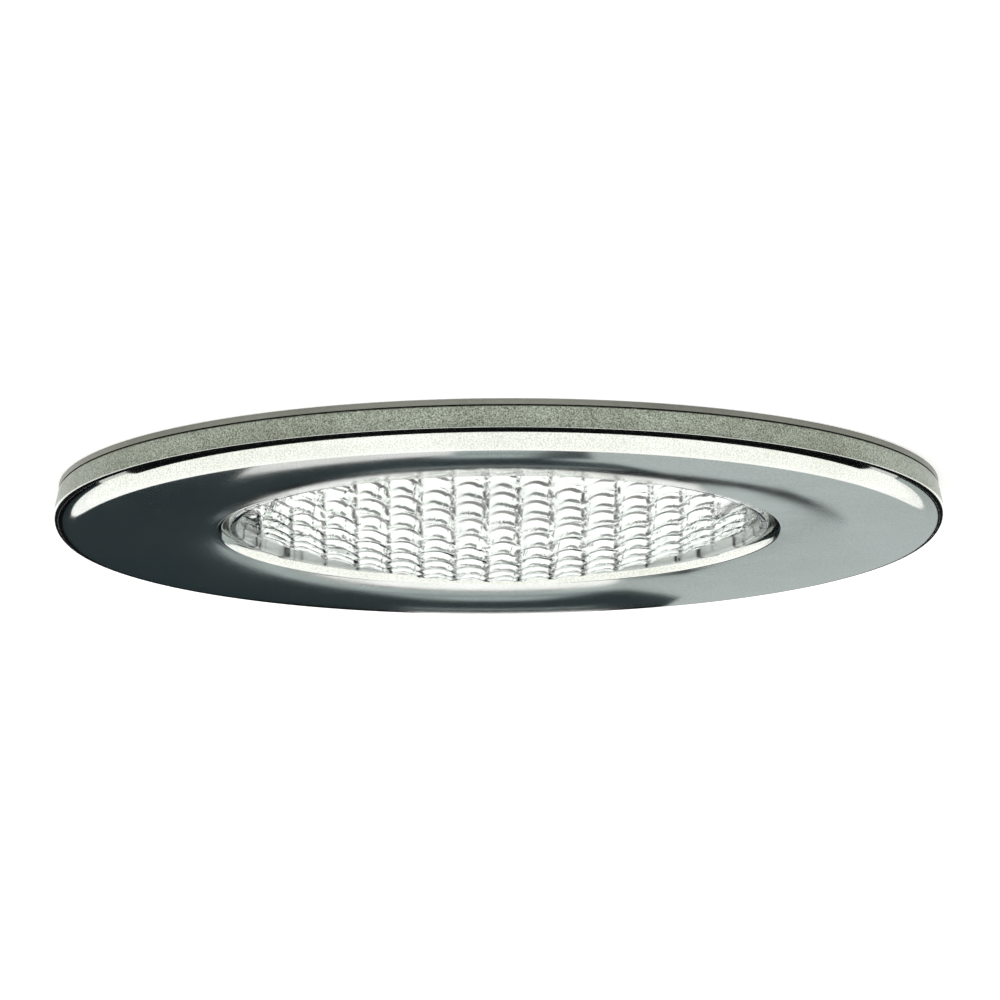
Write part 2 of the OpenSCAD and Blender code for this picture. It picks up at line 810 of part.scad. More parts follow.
module lid_hinge_pin() {
    half = knuckle_l * 3 / 2 + knuckle_gap + pin_over;
    color([0.7, 0.7, 0.72])
    translate([hinge_x, -half, hinge_z]) rotate([-90, 0, 0]) cylinder(r = hinge_pin_r, h = 2 * half);
}

module junction_lid() {
    rim_l = box_in_l - 2 * lid_gap;
    rim_w = box_in_w - 2 * lid_gap;
    color([0.88, 0.88, 0.86])
    difference() {
        union() {
            rounded_block(box_l, box_w, box_top, box_top + lid_t, corner_r);
            block(box_l / 2 - eps, box_l / 2 + thumb_l, thumb_w, box_top, box_top + lid_t / 2);
            difference() {
                rounded_block(rim_l, rim_w, box_top - lid_rim_h, box_top + eps, corner_r - box_wall);
                rounded_block(rim_l - 2 * lid_rim_t, rim_w - 2 * lid_rim_t, box_top - lid_rim_h - eps,
                    box_top, corner_r - box_wall);
            }
            translate([hinge_x, -(knuckle_l - 2 * knuckle_gap) / 2, 0]) {
                translate([0, 0, hinge_z]) rotate([-90, 0, 0])
                    cylinder(r = lid_knuckle_r, h = knuckle_l - 2 * knuckle_gap);
                translate([0, 0, hinge_z])
                    cube([-box_l / 2 - hinge_x + corner_r, knuckle_l - 2 * knuckle_gap, lid_t - hinge_rise]);
            }
        }
        hinge_knuckles(hinge_r + knuckle_gap);
        hinge_bore(hinge_pin_r + fit);
    }
}

module junction_screws() {
    color([0.75, 0.75, 0.76])
    for (p = box_screws) translate([p[0], p[1], 0]) difference() {
        union() {
            translate([0, 0, floor_top]) cylinder(r = box_screw_head, h = box_screw_head_t);
            translate([0, 0, pan_in - box_screw_tip])
                cylinder(r = box_screw_r - skin, h = floor_top - pan_in + box_screw_tip + eps);
        }
        for (turn = [0, 90])
            rotate([0, 0, turn])
                block(-slot_l / 2, slot_l / 2, slot_w, floor_top + box_screw_head_t - slot_t,
                    floor_top + box_screw_head_t + eps);
    }
}

module terminal_block() {
    color([0.93, 0.92, 0.88])
    difference() {
        block(block_x, block_x + block_l, block_w, floor_top, floor_top + block_h);
        for (y = [-1, 1]) {
            rod(lead_r + wire_room, block_x - eps, clamp_x + eps, y * pole_y, inlet_z);
            rod(lead_r + wire_room, clamp_x + clamp_l - eps, block_x + block_l + eps, y * pole_y, inlet_z);
            rod(clamp_ro + skin, clamp_x, clamp_x + clamp_l, y * pole_y, inlet_z);
            for (x = terminal_screw_x)
                post(terminal_well_r, x, y * pole_y, inlet_z, floor_top + block_h + eps);
        }
    }
}

module terminal_clamps() {
    color([0.8, 0.65, 0.3])
    for (y = [-1, 1]) difference() {
        rod(clamp_ro, clamp_x, clamp_x + clamp_l, y * pole_y, inlet_z);
        rod(clamp_ri, clamp_x - eps, clamp_x + clamp_l + eps, y * pole_y, inlet_z);
        for (x = terminal_screw_x)
            post(terminal_screw_r + skin, x, y * pole_y, inlet_z, inlet_z + clamp_ro + eps);
    }
}

module terminal_screws() {
    low = inlet_z + lead_r + wire_room;
    neck = inlet_z + clamp_ro + terminal_neck;
    top = floor_top + block_h - terminal_sink;
    color([0.75, 0.75, 0.76])
    for (y = [-1, 1], x = terminal_screw_x) translate([x, y * pole_y, 0]) difference() {
        union() {
            post(terminal_screw_r, 0, 0, low, neck + eps);
            post(terminal_head_r, 0, 0, neck, top);
        }
        block(-terminal_head_r - eps, terminal_head_r + eps, slot_w, top - slot_t, top + eps);
    }
}

module cord_clamp() {
    color([0.9, 0.9, 0.88])
    difference() {
        block(grip_x - grip_l / 2, grip_x + grip_l / 2, grip_w, grip_z, grip_z + grip_t + grip_rim);
        rod(cable_r, grip_x - grip_l / 2 - eps, grip_x + grip_l / 2 + eps, 0, inlet_z);
        for (y = [-1, 1]) {
            post(grip_screw_r + skin, grip_x, y * grip_post_y, grip_z - eps, grip_z + grip_t);
            post(grip_screw_head + grip_gap, grip_x, y * grip_post_y, grip_z + grip_t - grip_rim,
                grip_z + grip_t + grip_rim + eps);
        }
    }
}

module clamp_screws() {
    head_z = grip_z + grip_t - grip_rim;
    color([0.75, 0.75, 0.76])
    for (y = [-1, 1]) translate([grip_x, y * grip_post_y, 0]) difference() {
        union() {
            post(grip_screw_head, 0, 0, head_z, head_z + grip_screw_head_t);
            post(grip_screw_r - skin, 0, 0, grip_z - grip_screw_len + screw_end, head_z + eps);
        }
        block(-grip_screw_head - eps, grip_screw_head + eps, slot_w, head_z + grip_screw_head_t - slot_t,
            head_z + grip_screw_head_t + eps);
    }
}

module cable_grommet() {
    inner = box_l / 2 - box_wall;
    outer = box_l / 2;
    nose = inner - grommet_lip_t + grommet_l;
    color([0.15, 0.15, 0.15])
    difference() {
        union() {
            rod(grommet_lip_r, inner - grommet_lip_t, inner, 0, inlet_z);
            rod(grommet_r, inner - eps, outer + eps, 0, inlet_z);
            rod(grommet_lip_r, outer, outer + grommet_lip_t, 0, inlet_z);
            translate([outer + grommet_lip_t - eps, 0, inlet_z]) rotate([0, 90, 0])
                cylinder(r1 = grommet_neck_r, r2 = grommet_nose_r, h = nose - outer - grommet_lip_t + eps);
        }
        rod(cable_r, inner - grommet_lip_t - eps, nose + eps, 0, inlet_z);
    }
}

// ---- Trim ring and glass

module trim_ring() {
    rim = bezel_d / 2;
    edge_c = [rim - edge_round, face_z + edge_round];
    lip_c = [opening_r + lip_round, lip_z + lip_round];
    color([0.72, 0.73, 0.7])
    union() {
        rotate_extrude() polygon(concat(
            [[side_ri, -strip_t - joint_line], [side_top_r, -strip_t - joint_line]],
            arc(edge_c, edge_round, 0, -90),
            arc(lip_c, lip_round, -90, -180),
            [[opening_r, ledge_z], [neck_ri, ledge_z], [neck_ri, retainer_z - skin],
                [groove_r, retainer_z - skin], [groove_r, retainer_z + retainer_t + skin],
                [neck_ri, retainer_z + retainer_t + skin], [neck_ri, neck_top], [neck_ro, neck_top],
                [neck_ro, shelf_z], [side_ri, shelf_z]]
        ));
        for (i = [0:lug_count - 1])
            ring_part(neck_ro - lug_root, lug_r, lug_z, lug_z + lug_t, first_lug + i * lug_step, lug_angle);
    }
}

module prismatic_glass() {
    dome_in = dome_r - glass_t;
    color([0.92, 0.95, 0.95, 0.8])
    difference() {
        union() {
            ring(body_r - rim_root, rim_r, rim_z, rim_z + rim_t);
            ring(body_r - border_w, body_r, rim_z - dome_step, rim_z + eps);
            intersection() {
                translate([0, 0, dome_c]) sphere(r = dome_r);
                translate([0, 0, dome_low - eps]) cylinder(r = body_r, h = rim_z + rim_t - dome_low + eps);
            }
        }
        translate([0, 0, dome_c]) sphere(r = dome_in);
    }
}

module glass_gasket() {
    color([0.1, 0.1, 0.1])
    ring(opening_r + glass_gasket_gap, rim_r, ledge_z, rim_z);
}

module glass_retainer() {
    ri = groove_r - skin - retainer_w;
    eye_turn = retainer_gap_angle / 2 + eye_angle;
    color([0.55, 0.56, 0.58])
    difference() {
        union() {
            ring_part(ri, groove_r - skin, retainer_z, retainer_z + retainer_t,
                270, 360 - retainer_gap_angle);
            for (s = [-1, 1]) rotate([0, 0, 90 + s * eye_turn])
                translate([ri + eye_in, 0, retainer_z]) cylinder(r = eye_r, h = retainer_t);
        }
        for (s = [-1, 1]) rotate([0, 0, 90 + s * eye_turn])
            translate([ri + eye_in, 0, retainer_z - eps]) cylinder(r = eye_r / 2, h = retainer_t + 2 * eps);
    }
}

// ---- Lamp

module lamp_capsule() {
    dome_x = lamp_tip - lamp_r;
    color([0.85, 0.9, 0.92, 0.5])
    difference() {
        union() {
            block(lamp_x, bulb_x + bulb_end, pinch_w, lamp_z - pinch_t / 2, lamp_z + pinch_t / 2);
            rod(lamp_r, bulb_x, dome_x, 0, lamp_z);
            translate([dome_x, 0, lamp_z]) sphere(r = lamp_r);
        }
        rod(lamp_r - bulb_wall, bulb_x + bulb_end, dome_x, 0, lamp_z);
        translate([dome_x, 0, lamp_z]) sphere(r = lamp_r - bulb_wall);
        for (y = [-1, 1]) {
            rod(pin_r + eps, lamp_x - eps, lamp_x + pin_in + foil_gap, y * pin_pitch / 2, lamp_z);
            rod(support_r + eps, lamp_x + pin_in, bulb_x + bulb_end + eps, y * pin_pitch / 2, lamp_z);
        }
    }
}

module lamp_pins() {
    color([0.7, 0.7, 0.72])
    for (y = [-1, 1]) rod(pin_r, lamp_x - pin_len, lamp_x + pin_in, y * pin_pitch / 2, lamp_z);
}

module lamp_filament() {
    color([0.4, 0.4, 0.42])
    union() {
        for (y = [-1, 1])
            rod(support_r, lamp_x + pin_in + foil_gap, filament_x, y * pin_pitch / 2, lamp_z);
        translate([filament_x, -filament_l / 2, lamp_z]) rotate([-90, 0, 0])
            cylinder(r = filament_r, h = filament_l);
    }
}

// ---- Spring clips, drawn on the -X side

module on_side(side) {
    rotate([0, 0, side == "left" ? 0 : 180]) children();
}

// Turns a drawing in u and w into a plate from y0 to y1
module clip_plate(y0, y1) {
    translate([-pivot_r, y1, pivot_z]) rotate([90, 0, 0])
        linear_extrude(height = y1 - y0) mirror([1, 0]) children();
}

module clip_rod(r, y0, y1) {
    translate([-pivot_r, y0, pivot_z]) rotate([-90, 0, 0]) cylinder(r = r, h = y1 - y0);
}

module clip_bracket() {
    outer = bracket_ear_y + ear_t;
    color([0.72, 0.73, 0.74])
    difference() {
        union() {
            translate([-plate_out, -outer, plate_low]) cube([plate_t, 2 * outer, plate_high - plate_low]);
            for (y0 = [-outer, bracket_ear_y]) {
                clip_rod(ear_r, y0, y0 + ear_t);
                clip_plate(y0, y0 + ear_t) translate([plate_u - eps, -ear_r]) square([-plate_u, 2 * ear_r]);
            }
        }
        clip_rod(clip_pin_r, -outer - eps, outer + eps);
        for (z = clip_rivet_z) rod(rivet_r, -plate_out - eps, -plate_x + eps, 0, z);
    }
}

module clip_pin() {
    outer = bracket_ear_y + ear_t;
    color([0.75, 0.75, 0.76])
    union() {
        clip_rod(clip_pin_r, -outer, outer + eps);
        clip_rod(clip_pin_head_r, -outer - clip_pin_head_t, -outer);
        clip_rod(clip_pin_head_r, outer, outer + clip_pin_head_t);
    }
}

module clip_arm() {
    half = arm_w / 2;
    color([0.72, 0.73, 0.74])
    difference() {
        union() {
            clip_plate(-half, half) polygon(strip_outline(arm_path, arm_t));
            for (y0 = [-half, half - arm_ear_t]) {
                clip_rod(ear_r, y0, y0 + arm_ear_t);
                clip_plate(y0, y0 + arm_ear_t) polygon([
                    [heel_u, 0], [0, ear_r], [cheek_u, cheek_w], arm_start + [cheek_l, cheek_top],
                    arm_start + [cheek_l, cheek_low], [heel_end, heel_w], [heel_u, heel_w]
                ]);
            }
        }
        clip_rod(clip_pin_r + fit, -half - eps, half + eps);
    }
}

module clip_pad() {
    half = arm_w / 2;
    under = foot_w_z - arm_t / 2;
    over = foot_w_z + arm_t / 2;
    color([0.2, 0.2, 0.21])
    difference() {
        clip_plate(-half - pad_side, half + pad_side)
            translate([pad_u, under - pad_t]) square([pad_l, pad_t + arm_t + pad_over]);
        clip_plate(-half - skin, half + skin)
            translate([pad_u - pad_gap, under - skin]) square([pad_l + 2 * pad_gap, arm_t + 2 * skin]);
    }
}

module clip_rivets() {
    color([0.7, 0.7, 0.7])
    for (side = ["left", "right"], z = clip_rivet_z) on_side(side) {
        rod(rivet_r, -plate_out - eps, -can_ri + skin + eps, 0, z);
        rod(rivet_tail_r, -plate_out - rivet_tail_t, -plate_out, 0, z);
        rod(rivet_tail_r, -can_ri + skin, -can_ri + skin + clip_rivet_tail, 0, z);
    }
}

// Wire of the torsion spring: up the bracket's plate, round the pin, and out along the arm
spring_turns = curls + (180 - (90 - arm_slope)) / 360;
spring_half = spring_turns * curl_pitch / 2;
spring_steps = round(spring_turns * ring_count);
leg_dir = [cos(arm_slope), -sin(arm_slope)];
spring_plan = concat(
    [for (s = [1, 0.5]) [-coil_r, -spring_leg * s, -spring_half]],
    [for (i = [0:spring_steps]) let (f = i / spring_steps, t = 180 - f * spring_turns * 360)
        [coil_r * cos(t), coil_r * sin(t), -spring_half + f * spring_turns * curl_pitch]],
    [for (s = [0.5, 1]) let (p = coil_r * [sin(arm_slope), cos(arm_slope)] + s * spring_reach * leg_dir)
        [p[0], p[1], spring_half]]
);
spring_wire = [for (p = spring_plan) [-pivot_r - p[0], p[2], pivot_z + p[1]]];

module clip_spring() {
    color([0.6, 0.61, 0.63]) swept_tube(spring_wire, wire_r, wire_sides, [0, 1, 0]);
}

// Least gap of the wire to itself, between points that are over half a turn apart
spring_gap = min([for (i = [0:len(spring_wire) - 1], j = [0:len(spring_wire) - 1])
    if (j - i > ring_count / 2) norm(spring_wire[i] - spring_wire[j])]) - wire_d;
echo(str("least gap of the clip spring to itself: ", spring_gap, " mm"));

mounting_flange();
soffit_gasket();
bayonet_ring();
bayonet_screws();
bezel_seal();
housing_can();
can_rivets();
reflector();
lengthwise() lampholder();
lengthwise() lampholder_contacts();
lengthwise() lampholder_bracket();
lengthwise() lampholder_screws();
lengthwise() bracket_rivets();
lengthwise() lead_live();
lengthwise() lead_neutral();
lengthwise() lead_bushing();
lengthwise() junction_box();
lengthwise() junction_screws();
lengthwise() terminal_block();
lengthwise() terminal_clamps();
lengthwise() terminal_screws();
lengthwise() cord_clamp();
lengthwise() clamp_screws();
lengthwise() cable_grommet();
lengthwise() lid_hinge_pin();
lengthwise() junction_lid();
trim_ring();
prismatic_glass();
glass_gasket();
glass_retainer();
lengthwise() lamp_capsule();
lengthwise() lamp_pins();
lengthwise() lamp_filament();
on_side("left") clip_bracket();  // clip_bracket_left
on_side("left") clip_pin();  // clip_pin_left
on_side("left") clip_arm();  // clip_arm_left
on_side("left") clip_pad();  // clip_pad_left
on_side("left") clip_spring();  // clip_spring_left
on_side("right") clip_bracket();  // clip_bracket_right
on_side("right") clip_pin();  // clip_pin_right
on_side("right") clip_arm();  // clip_arm_right
on_side("right") clip_pad();  // clip_pad_right
on_side("right") clip_spring();  // clip_spring_right
clip_rivets();
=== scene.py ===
import math
import bpy
import bmesh
from mathutils import Matrix, Vector


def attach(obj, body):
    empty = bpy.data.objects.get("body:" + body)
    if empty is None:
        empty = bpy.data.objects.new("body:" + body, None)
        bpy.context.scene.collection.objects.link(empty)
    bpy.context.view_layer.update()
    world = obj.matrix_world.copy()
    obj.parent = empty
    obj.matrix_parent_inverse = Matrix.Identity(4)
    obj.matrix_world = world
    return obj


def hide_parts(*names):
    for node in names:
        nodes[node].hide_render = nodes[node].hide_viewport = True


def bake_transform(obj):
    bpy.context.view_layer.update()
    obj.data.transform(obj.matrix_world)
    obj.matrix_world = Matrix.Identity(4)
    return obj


# Soffit downlight seen from below: satin nickel trim ring, pressed prismatic glass, sprung can behind
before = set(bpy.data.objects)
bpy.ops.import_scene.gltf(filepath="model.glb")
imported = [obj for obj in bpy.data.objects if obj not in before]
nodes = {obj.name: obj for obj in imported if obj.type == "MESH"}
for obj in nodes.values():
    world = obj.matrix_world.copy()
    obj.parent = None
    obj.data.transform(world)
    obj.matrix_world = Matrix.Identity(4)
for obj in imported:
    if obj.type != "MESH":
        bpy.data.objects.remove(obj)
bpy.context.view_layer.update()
mm = 0.001
weld = 0.000002                         # points closer than this, in m, become one
print("frame loaded:", len(nodes), "nodes")


# helpers for modelling
def deselectAll():
    if bpy.context.object and bpy.context.object.mode != "OBJECT":
        bpy.ops.object.mode_set(mode="OBJECT")
    bpy.ops.object.select_all(action="DESELECT")


def makeActive(piece):
    deselectAll()
    piece.select_set(True)
    bpy.context.view_layer.objects.active = piece


def settle(piece):                      # place, turn and size go into the mesh
    makeActive(piece)
    bpy.ops.object.transform_apply(location=True, rotation=True, scale=True)


def applyModifier(piece, kind, **settings):
    makeActive(piece)
    modifier = piece.modifiers.new(kind.title(), kind)
    for key, value in settings.items():
        setattr(modifier, key, value)
    bpy.ops.object.modifier_apply(modifier=modifier.name)


def smoothByAngle(piece, degrees=32):
    makeActive(piece)
    bpy.ops.object.shade_smooth_by_angle(angle=math.radians(degrees))


def selectVerts(piece, test):           # edit mode, picks the vertices that pass a test on their place in mm
    bpy.ops.mesh.select_mode(type="VERT")
    bpy.ops.mesh.select_all(action="DESELECT")
    mesh = bmesh.from_edit_mesh(piece.data)
    for vert in mesh.verts:
        vert.select = bool(test(vert.co / mm))
    mesh.select_flush_mode()
    bmesh.update_edit_mesh(piece.data)


def selectFaces(piece, test):           # the same for faces, by centre in mm and normal
    bpy.ops.mesh.select_mode(type="FACE")
    bpy.ops.mesh.select_all(action="DESELECT")
    mesh = bmesh.from_edit_mesh(piece.data)
    mesh.normal_update()
    for face in mesh.faces:
        face.select = bool(test(face.calc_center_median() / mm, face.normal))
    mesh.select_flush_mode()
    bmesh.update_edit_mesh(piece.data)


def arc(cx, cy, radius, start, end, steps=10):
    return [(cx + radius * math.cos(math.radians(start + (end - start) * i / steps)),
             cy + radius * math.sin(math.radians(start + (end - start) * i / steps))) for i in range(steps + 1)]


def drawProfile(name, points, closed, place):
    # one vertex, extruded from point to point; place turns a profile point in mm into a place in mm
    deselectAll()
    first = Vector(place(*points[0])) * mm
    bpy.ops.mesh.primitive_plane_add(size=0.001, location=first)
    piece = bpy.context.object
    piece.name = piece.data.name = name
    settle(piece)
    bpy.ops.object.mode_set(mode="EDIT")
    bpy.ops.mesh.select_mode(type="VERT")
    bpy.ops.mesh.select_all(action="SELECT")
    bpy.ops.mesh.merge(type="CENTER")
    here = first
    for point in points[1:]:
        there = Vector(place(*point)) * mm
        bpy.ops.mesh.extrude_region_move(TRANSFORM_OT_translate={"value": there - here})
        here = there
    if closed:
        mesh = bmesh.from_edit_mesh(piece.data)
        ends = [vert for vert in mesh.verts if len(vert.link_edges) == 1]
        for vert in mesh.verts:
            vert.select = vert in ends
        mesh.select_flush_mode()
        bmesh.update_edit_mesh(piece.data)
        bpy.ops.mesh.edge_face_add()
    return piece


def turned(name, points, steps, closed=True, keep=False):
    # a profile of (radius, height) spun once round the light's axis; keep stays in edit mode
    piece = drawProfile(name, points, closed, lambda r, z: (r, 0, z))
    bpy.ops.mesh.select_all(action="SELECT")
    bpy.ops.mesh.spin(steps=steps, angle=2 * math.pi, center=(0, 0, 0), axis=(0, 0, 1))
    bpy.ops.mesh.select_all(action="SELECT")
    bpy.ops.mesh.remove_doubles(threshold=weld)
    bpy.ops.mesh.normals_make_consistent(inside=False)
    if not keep:
        bpy.ops.object.mode_set(mode="OBJECT")
    return piece


def sweptWire(name, points, radius, sides):
    # round wire along a path in mm: a poly curve with a bevel, made a mesh
    deselectAll()
    curve = bpy.data.curves.new(name, "CURVE")
    curve.dimensions = "3D"
    curve.bevel_depth = radius * mm
    curve.bevel_resolution = max(1, sides // 4 - 1)
    curve.use_fill_caps = True
    line = curve.splines.new("POLY")
    line.points.add(len(points) - 1)
    for spot, point in zip(line.points, points):
        spot.co = (*(Vector(point) * mm), 1)
    piece = bpy.data.objects.new(name, curve)
    bpy.context.scene.collection.objects.link(piece)
    makeActive(piece)
    bpy.ops.object.convert(target="MESH")
    piece = bpy.context.object
    bpy.ops.object.mode_set(mode="EDIT")
    bpy.ops.mesh.select_all(action="SELECT")
    bpy.ops.mesh.remove_doubles(threshold=weld)
    bpy.ops.mesh.normals_make_consistent(inside=False)
    bpy.ops.object.mode_set(mode="OBJECT")
    return piece


# helpers for materials
def linear(hexValue):                   # sRGB hex to the linear colour that a shader takes
    parts = [int(hexValue[i:i + 2], 16) / 255 for i in (0, 2, 4)]
    return (*[c / 12.92 if c <= 0.04045 else ((c + 0.055) / 1.055) ** 2.4 for c in parts], 1.0)


def addNode(tree, kind, sockets, **settings):
    node = tree.nodes.new(kind)
    for key, value in settings.items():
        setattr(node, key, value)
    for key, value in sockets.items():
        if isinstance(value, bpy.types.NodeSocket):
            tree.links.new(value, node.inputs[key])
        else:
            node.inputs[key].default_value = value
    return node


def startMaterial(name, **sockets):
    material = bpy.data.materials.new(name)
    material.use_nodes = True
    tree = material.node_tree
    shader = tree.nodes["Principled BSDF"]
    for key, value in sockets.items():
        shader.inputs[key.replace("_", " ")].default_value = value
    place = addNode(tree, "ShaderNodeTexCoord", {}).outputs["Object"]
    return material, tree, shader, place


def link(tree, output, node, socket):
    tree.links.new(output, node.inputs[socket])


def surface(name, colours, roughness, grain, depth, metallic=0.0, stretch=(1, 1, 1), blotch=12.0, **sockets):
    # a surface with two close colours in soft blotches, a fine grain in its roughness and a fine bump.
    # grain and blotch are sizes in mm, depth is the height of the grain in mm
    material, tree, shader, place = startMaterial(name, Metallic=metallic, **sockets)
    sized = addNode(tree, "ShaderNodeMapping", {"Vector": place, "Scale": stretch})
    fine = addNode(tree, "ShaderNodeTexNoise", {"Vector": sized.outputs[0], "Scale": 1 / (grain * mm),
                                               "Detail": 3.0, "Roughness": 0.6})
    wide = addNode(tree, "ShaderNodeTexNoise", {"Vector": place, "Scale": 1 / (blotch * mm), "Detail": 4.0})
    blend = addNode(tree, "ShaderNodeMapRange", {"Value": wide.outputs[0], "From Min": 0.35, "From Max": 0.65})
    mix = addNode(tree, "ShaderNodeMix", {0: blend.outputs[0], 6: linear(colours[0]), 7: linear(colours[1])},
                  data_type="RGBA")
    rough = addNode(tree, "ShaderNodeMapRange", {"Value": fine.outputs[0], "From Min": 0.3, "From Max": 0.7,
                                                "To Min": roughness[0], "To Max": roughness[1]})
    bump = addNode(tree, "ShaderNodeBump", {"Height": fine.outputs[0], "Strength": 0.6, "Distance": depth * mm})
    link(tree, mix.outputs[2], shader, "Base Color")
    link(tree, rough.outputs[0], shader, "Roughness")
    link(tree, bump.outputs[0], shader, "Normal")
    return material


finish = {}                             # materials by the name of the finish

# satin nickel plating on turned brass: soft mirror with hair-fine turning lines and a few stains; the side's darker
# colours are painted shade
ringLook = dict(face=("c5c8c3", "bcbfb8"), faceRough=(0.06, 0.09), faceSpeck=0.2,
                side=("8f968a", "83897c"), sideRough=(0.30, 0.42), sideSpeck=0.75,
                lines=0.16, lineBump=0.0003, grit=0.12, gritBump=0.0008, stain=7)   # sizes in mm


def satinNickel(name, rough, speck, colours):
    material, tree, shader, place = startMaterial(name, Metallic=1.0)
    apart = addNode(tree, "ShaderNodeSeparateXYZ", {0: place})
    flat = addNode(tree, "ShaderNodeCombineXYZ", {0: apart.outputs[0], 1: apart.outputs[1], 2: 0.0})
    radius = addNode(tree, "ShaderNodeVectorMath", {0: flat.outputs[0]}, operation="LENGTH")
    rings = addNode(tree, "ShaderNodeTexNoise", {"W": radius.outputs["Value"], "Scale": 1 / (ringLook["lines"] * mm),
                                                "Detail": 2.0}, noise_dimensions="1D")
    grit = addNode(tree, "ShaderNodeTexNoise", {"Vector": place, "Scale": 1 / (ringLook["grit"] * mm), "Detail": 3.0})
    stain = addNode(tree, "ShaderNodeTexNoise", {"Vector": place, "Scale": 1 / (ringLook["stain"] * mm),
                                                "Detail": 5.0, "Roughness": 0.62})
    blend = addNode(tree, "ShaderNodeMapRange", {"Value": stain.outputs[0], "From Min": 0.4, "From Max": 0.68})
    mix = addNode(tree, "ShaderNodeMix", {0: blend.outputs[0], 6: linear(colours[0]), 7: linear(colours[1])},
                  data_type="RGBA")
    specks = addNode(tree, "ShaderNodeMapRange", {"Value": grit.outputs[0], "From Min": 0.3, "From Max": 0.7,
                                                 "To Min": 1 - speck, "To Max": 1 + speck})
    tint = addNode(tree, "ShaderNodeVectorMath", {0: mix.outputs[2], "Scale": specks.outputs[0]}, operation="SCALE")
    mark = addNode(tree, "ShaderNodeMapRange", {"Value": stain.outputs[0], "From Min": 0.3, "From Max": 0.75,
                                               "To Min": rough[0], "To Max": rough[1]})
    bump = addNode(tree, "ShaderNodeBump", {"Height": rings.outputs[0], "Strength": 0.5,
                                           "Distance": ringLook["lineBump"] * mm})
    second = addNode(tree, "ShaderNodeBump", {"Height": grit.outputs[0], "Strength": 0.4,
                                             "Distance": ringLook["gritBump"] * mm, "Normal": bump.outputs[0]})
    link(tree, tint.outputs[0], shader, "Base Color")
    link(tree, mark.outputs[0], shader, "Roughness")
    link(tree, second.outputs[0], shader, "Normal")
    return material


finish["satinNickel"] = satinNickel("satinNickelFace", ringLook["faceRough"], ringLook["faceSpeck"], ringLook["face"])
# the side of the ring is blasted: matter and speckled, and its darker colour is painted shade
finish["satinNickelSideShade"] = satinNickel("satinNickelSideShade", ringLook["sideRough"], ringLook["sideSpeck"],
                                        ringLook["side"])

# nickel on a zinc die casting: duller than the ring, with a faint orange peel
finish["nickelZinc"] = surface("nickelOnZinc", ("83847c", "75766f"), (0.28, 0.42), 0.35, 0.004, metallic=1.0)
# hot-dip galvanised sheet: pale grey with spangle
finish["galvanised"] = surface("galvanisedSheet", ("b9bcbe", "9ea2a6"), (0.32, 0.5), 0.5, 0.003, metallic=1.0,
                               blotch=3.0)
# spring steel wire: bright drawn wire with an oiled grey cast
finish["springSteel"] = surface("drawnSpringSteel", ("a9abad", "7d8083"), (0.2, 0.34), 0.12, 0.002, metallic=1.0)
# bright zinc screws: bluish
finish["screwSteel"] = surface("brightZincScrew", ("c3c7cc", "a4a9b0"), (0.2, 0.35), 0.25, 0.002, metallic=1.0)
# blind rivets: soft grey aluminium
finish["rivet"] = surface("aluminiumRivet", ("c6c8ca", "adb0b3"), (0.34, 0.46), 0.3, 0.003, metallic=1.0)
# spun aluminium can: fine turning lines round the body
finish["can"] = surface("spunAluminium", ("cbcdcf", "b6b9bc"), (0.3, 0.42), 0.35, 0.003, metallic=1.0,
                        stretch=(0.15, 0.15, 3))
# white enamel inside the reflector: glossy with a slight orange peel
finish["reflector"] = surface("whiteEnamel", ("f4f4f0", "ecece6"), (0.25, 0.35), 0.9, 0.01, blotch=9.0)
# steatite: unglazed cream ceramic
finish["steatite"] = surface("steatiteCeramic", ("ece6d6", "dfd8c6"), (0.55, 0.7), 0.2, 0.01, blotch=4.0)
# brass terminals: turned, slightly dulled
finish["brass"] = surface("turnedBrass", ("c7a45a", "a98644"), (0.25, 0.38), 0.2, 0.002, metallic=1.0)
# moulded box in off-white polycarbonate with a spark-eroded grain
finish["box"] = surface("mouldedPolycarbonate", ("e4e3dc", "dbd9d0"), (0.42, 0.56), 0.25, 0.012)
# terminal block in natural polyamide: milky
finish["terminal"] = surface("naturalPolyamide", ("ebe7d8", "e0dbca"), (0.38, 0.5), 0.5, 0.006,
                             Subsurface_Weight=0.08)
# silicone rubber: soft sheen, picks up dust
finish["siliconeBlack"] = surface("siliconeBlack", ("1c1c1d", "262627"), (0.5, 0.62), 0.4, 0.006)
finish["siliconeRed"] = surface("siliconeRed", ("8e3b2a", "7d3223"), (0.45, 0.58), 0.4, 0.006)
# closed-cell foam: open pits on its cut faces
finish["foam"] = surface("closedCellFoam", ("232323", "2e2e2f"), (0.8, 0.92), 0.3, 0.05)
# extruded rubber of the grommet and the clip feet
finish["rubber"] = surface("extrudedRubber", ("202021", "2b2b2c"), (0.55, 0.7), 0.35, 0.008)
finish["padRubber"] = surface("mouldedRubber", ("2a2a2b", "363637"), (0.6, 0.75), 0.3, 0.012)
# silicone-glass braided leads: woven sleeve over wire
finish["leadRed"] = surface("redSiliconeLead", ("a32a24", "8e201c"), (0.4, 0.52), 0.25, 0.01)
finish["leadBlack"] = surface("blackSiliconeLead", ("222225", "2d2d31"), (0.4, 0.52), 0.25, 0.01)
# nickel pins of the capsule
finish["pins"] = surface("nickelPins", ("c4c2ba", "aaa89f"), (0.2, 0.32), 0.15, 0.001, metallic=1.0)
# tungsten: dark drawn wire
finish["tungsten"] = surface("drawnTungsten", ("6f7074", "57585c"), (0.3, 0.42), 0.1, 0.001, metallic=1.0)


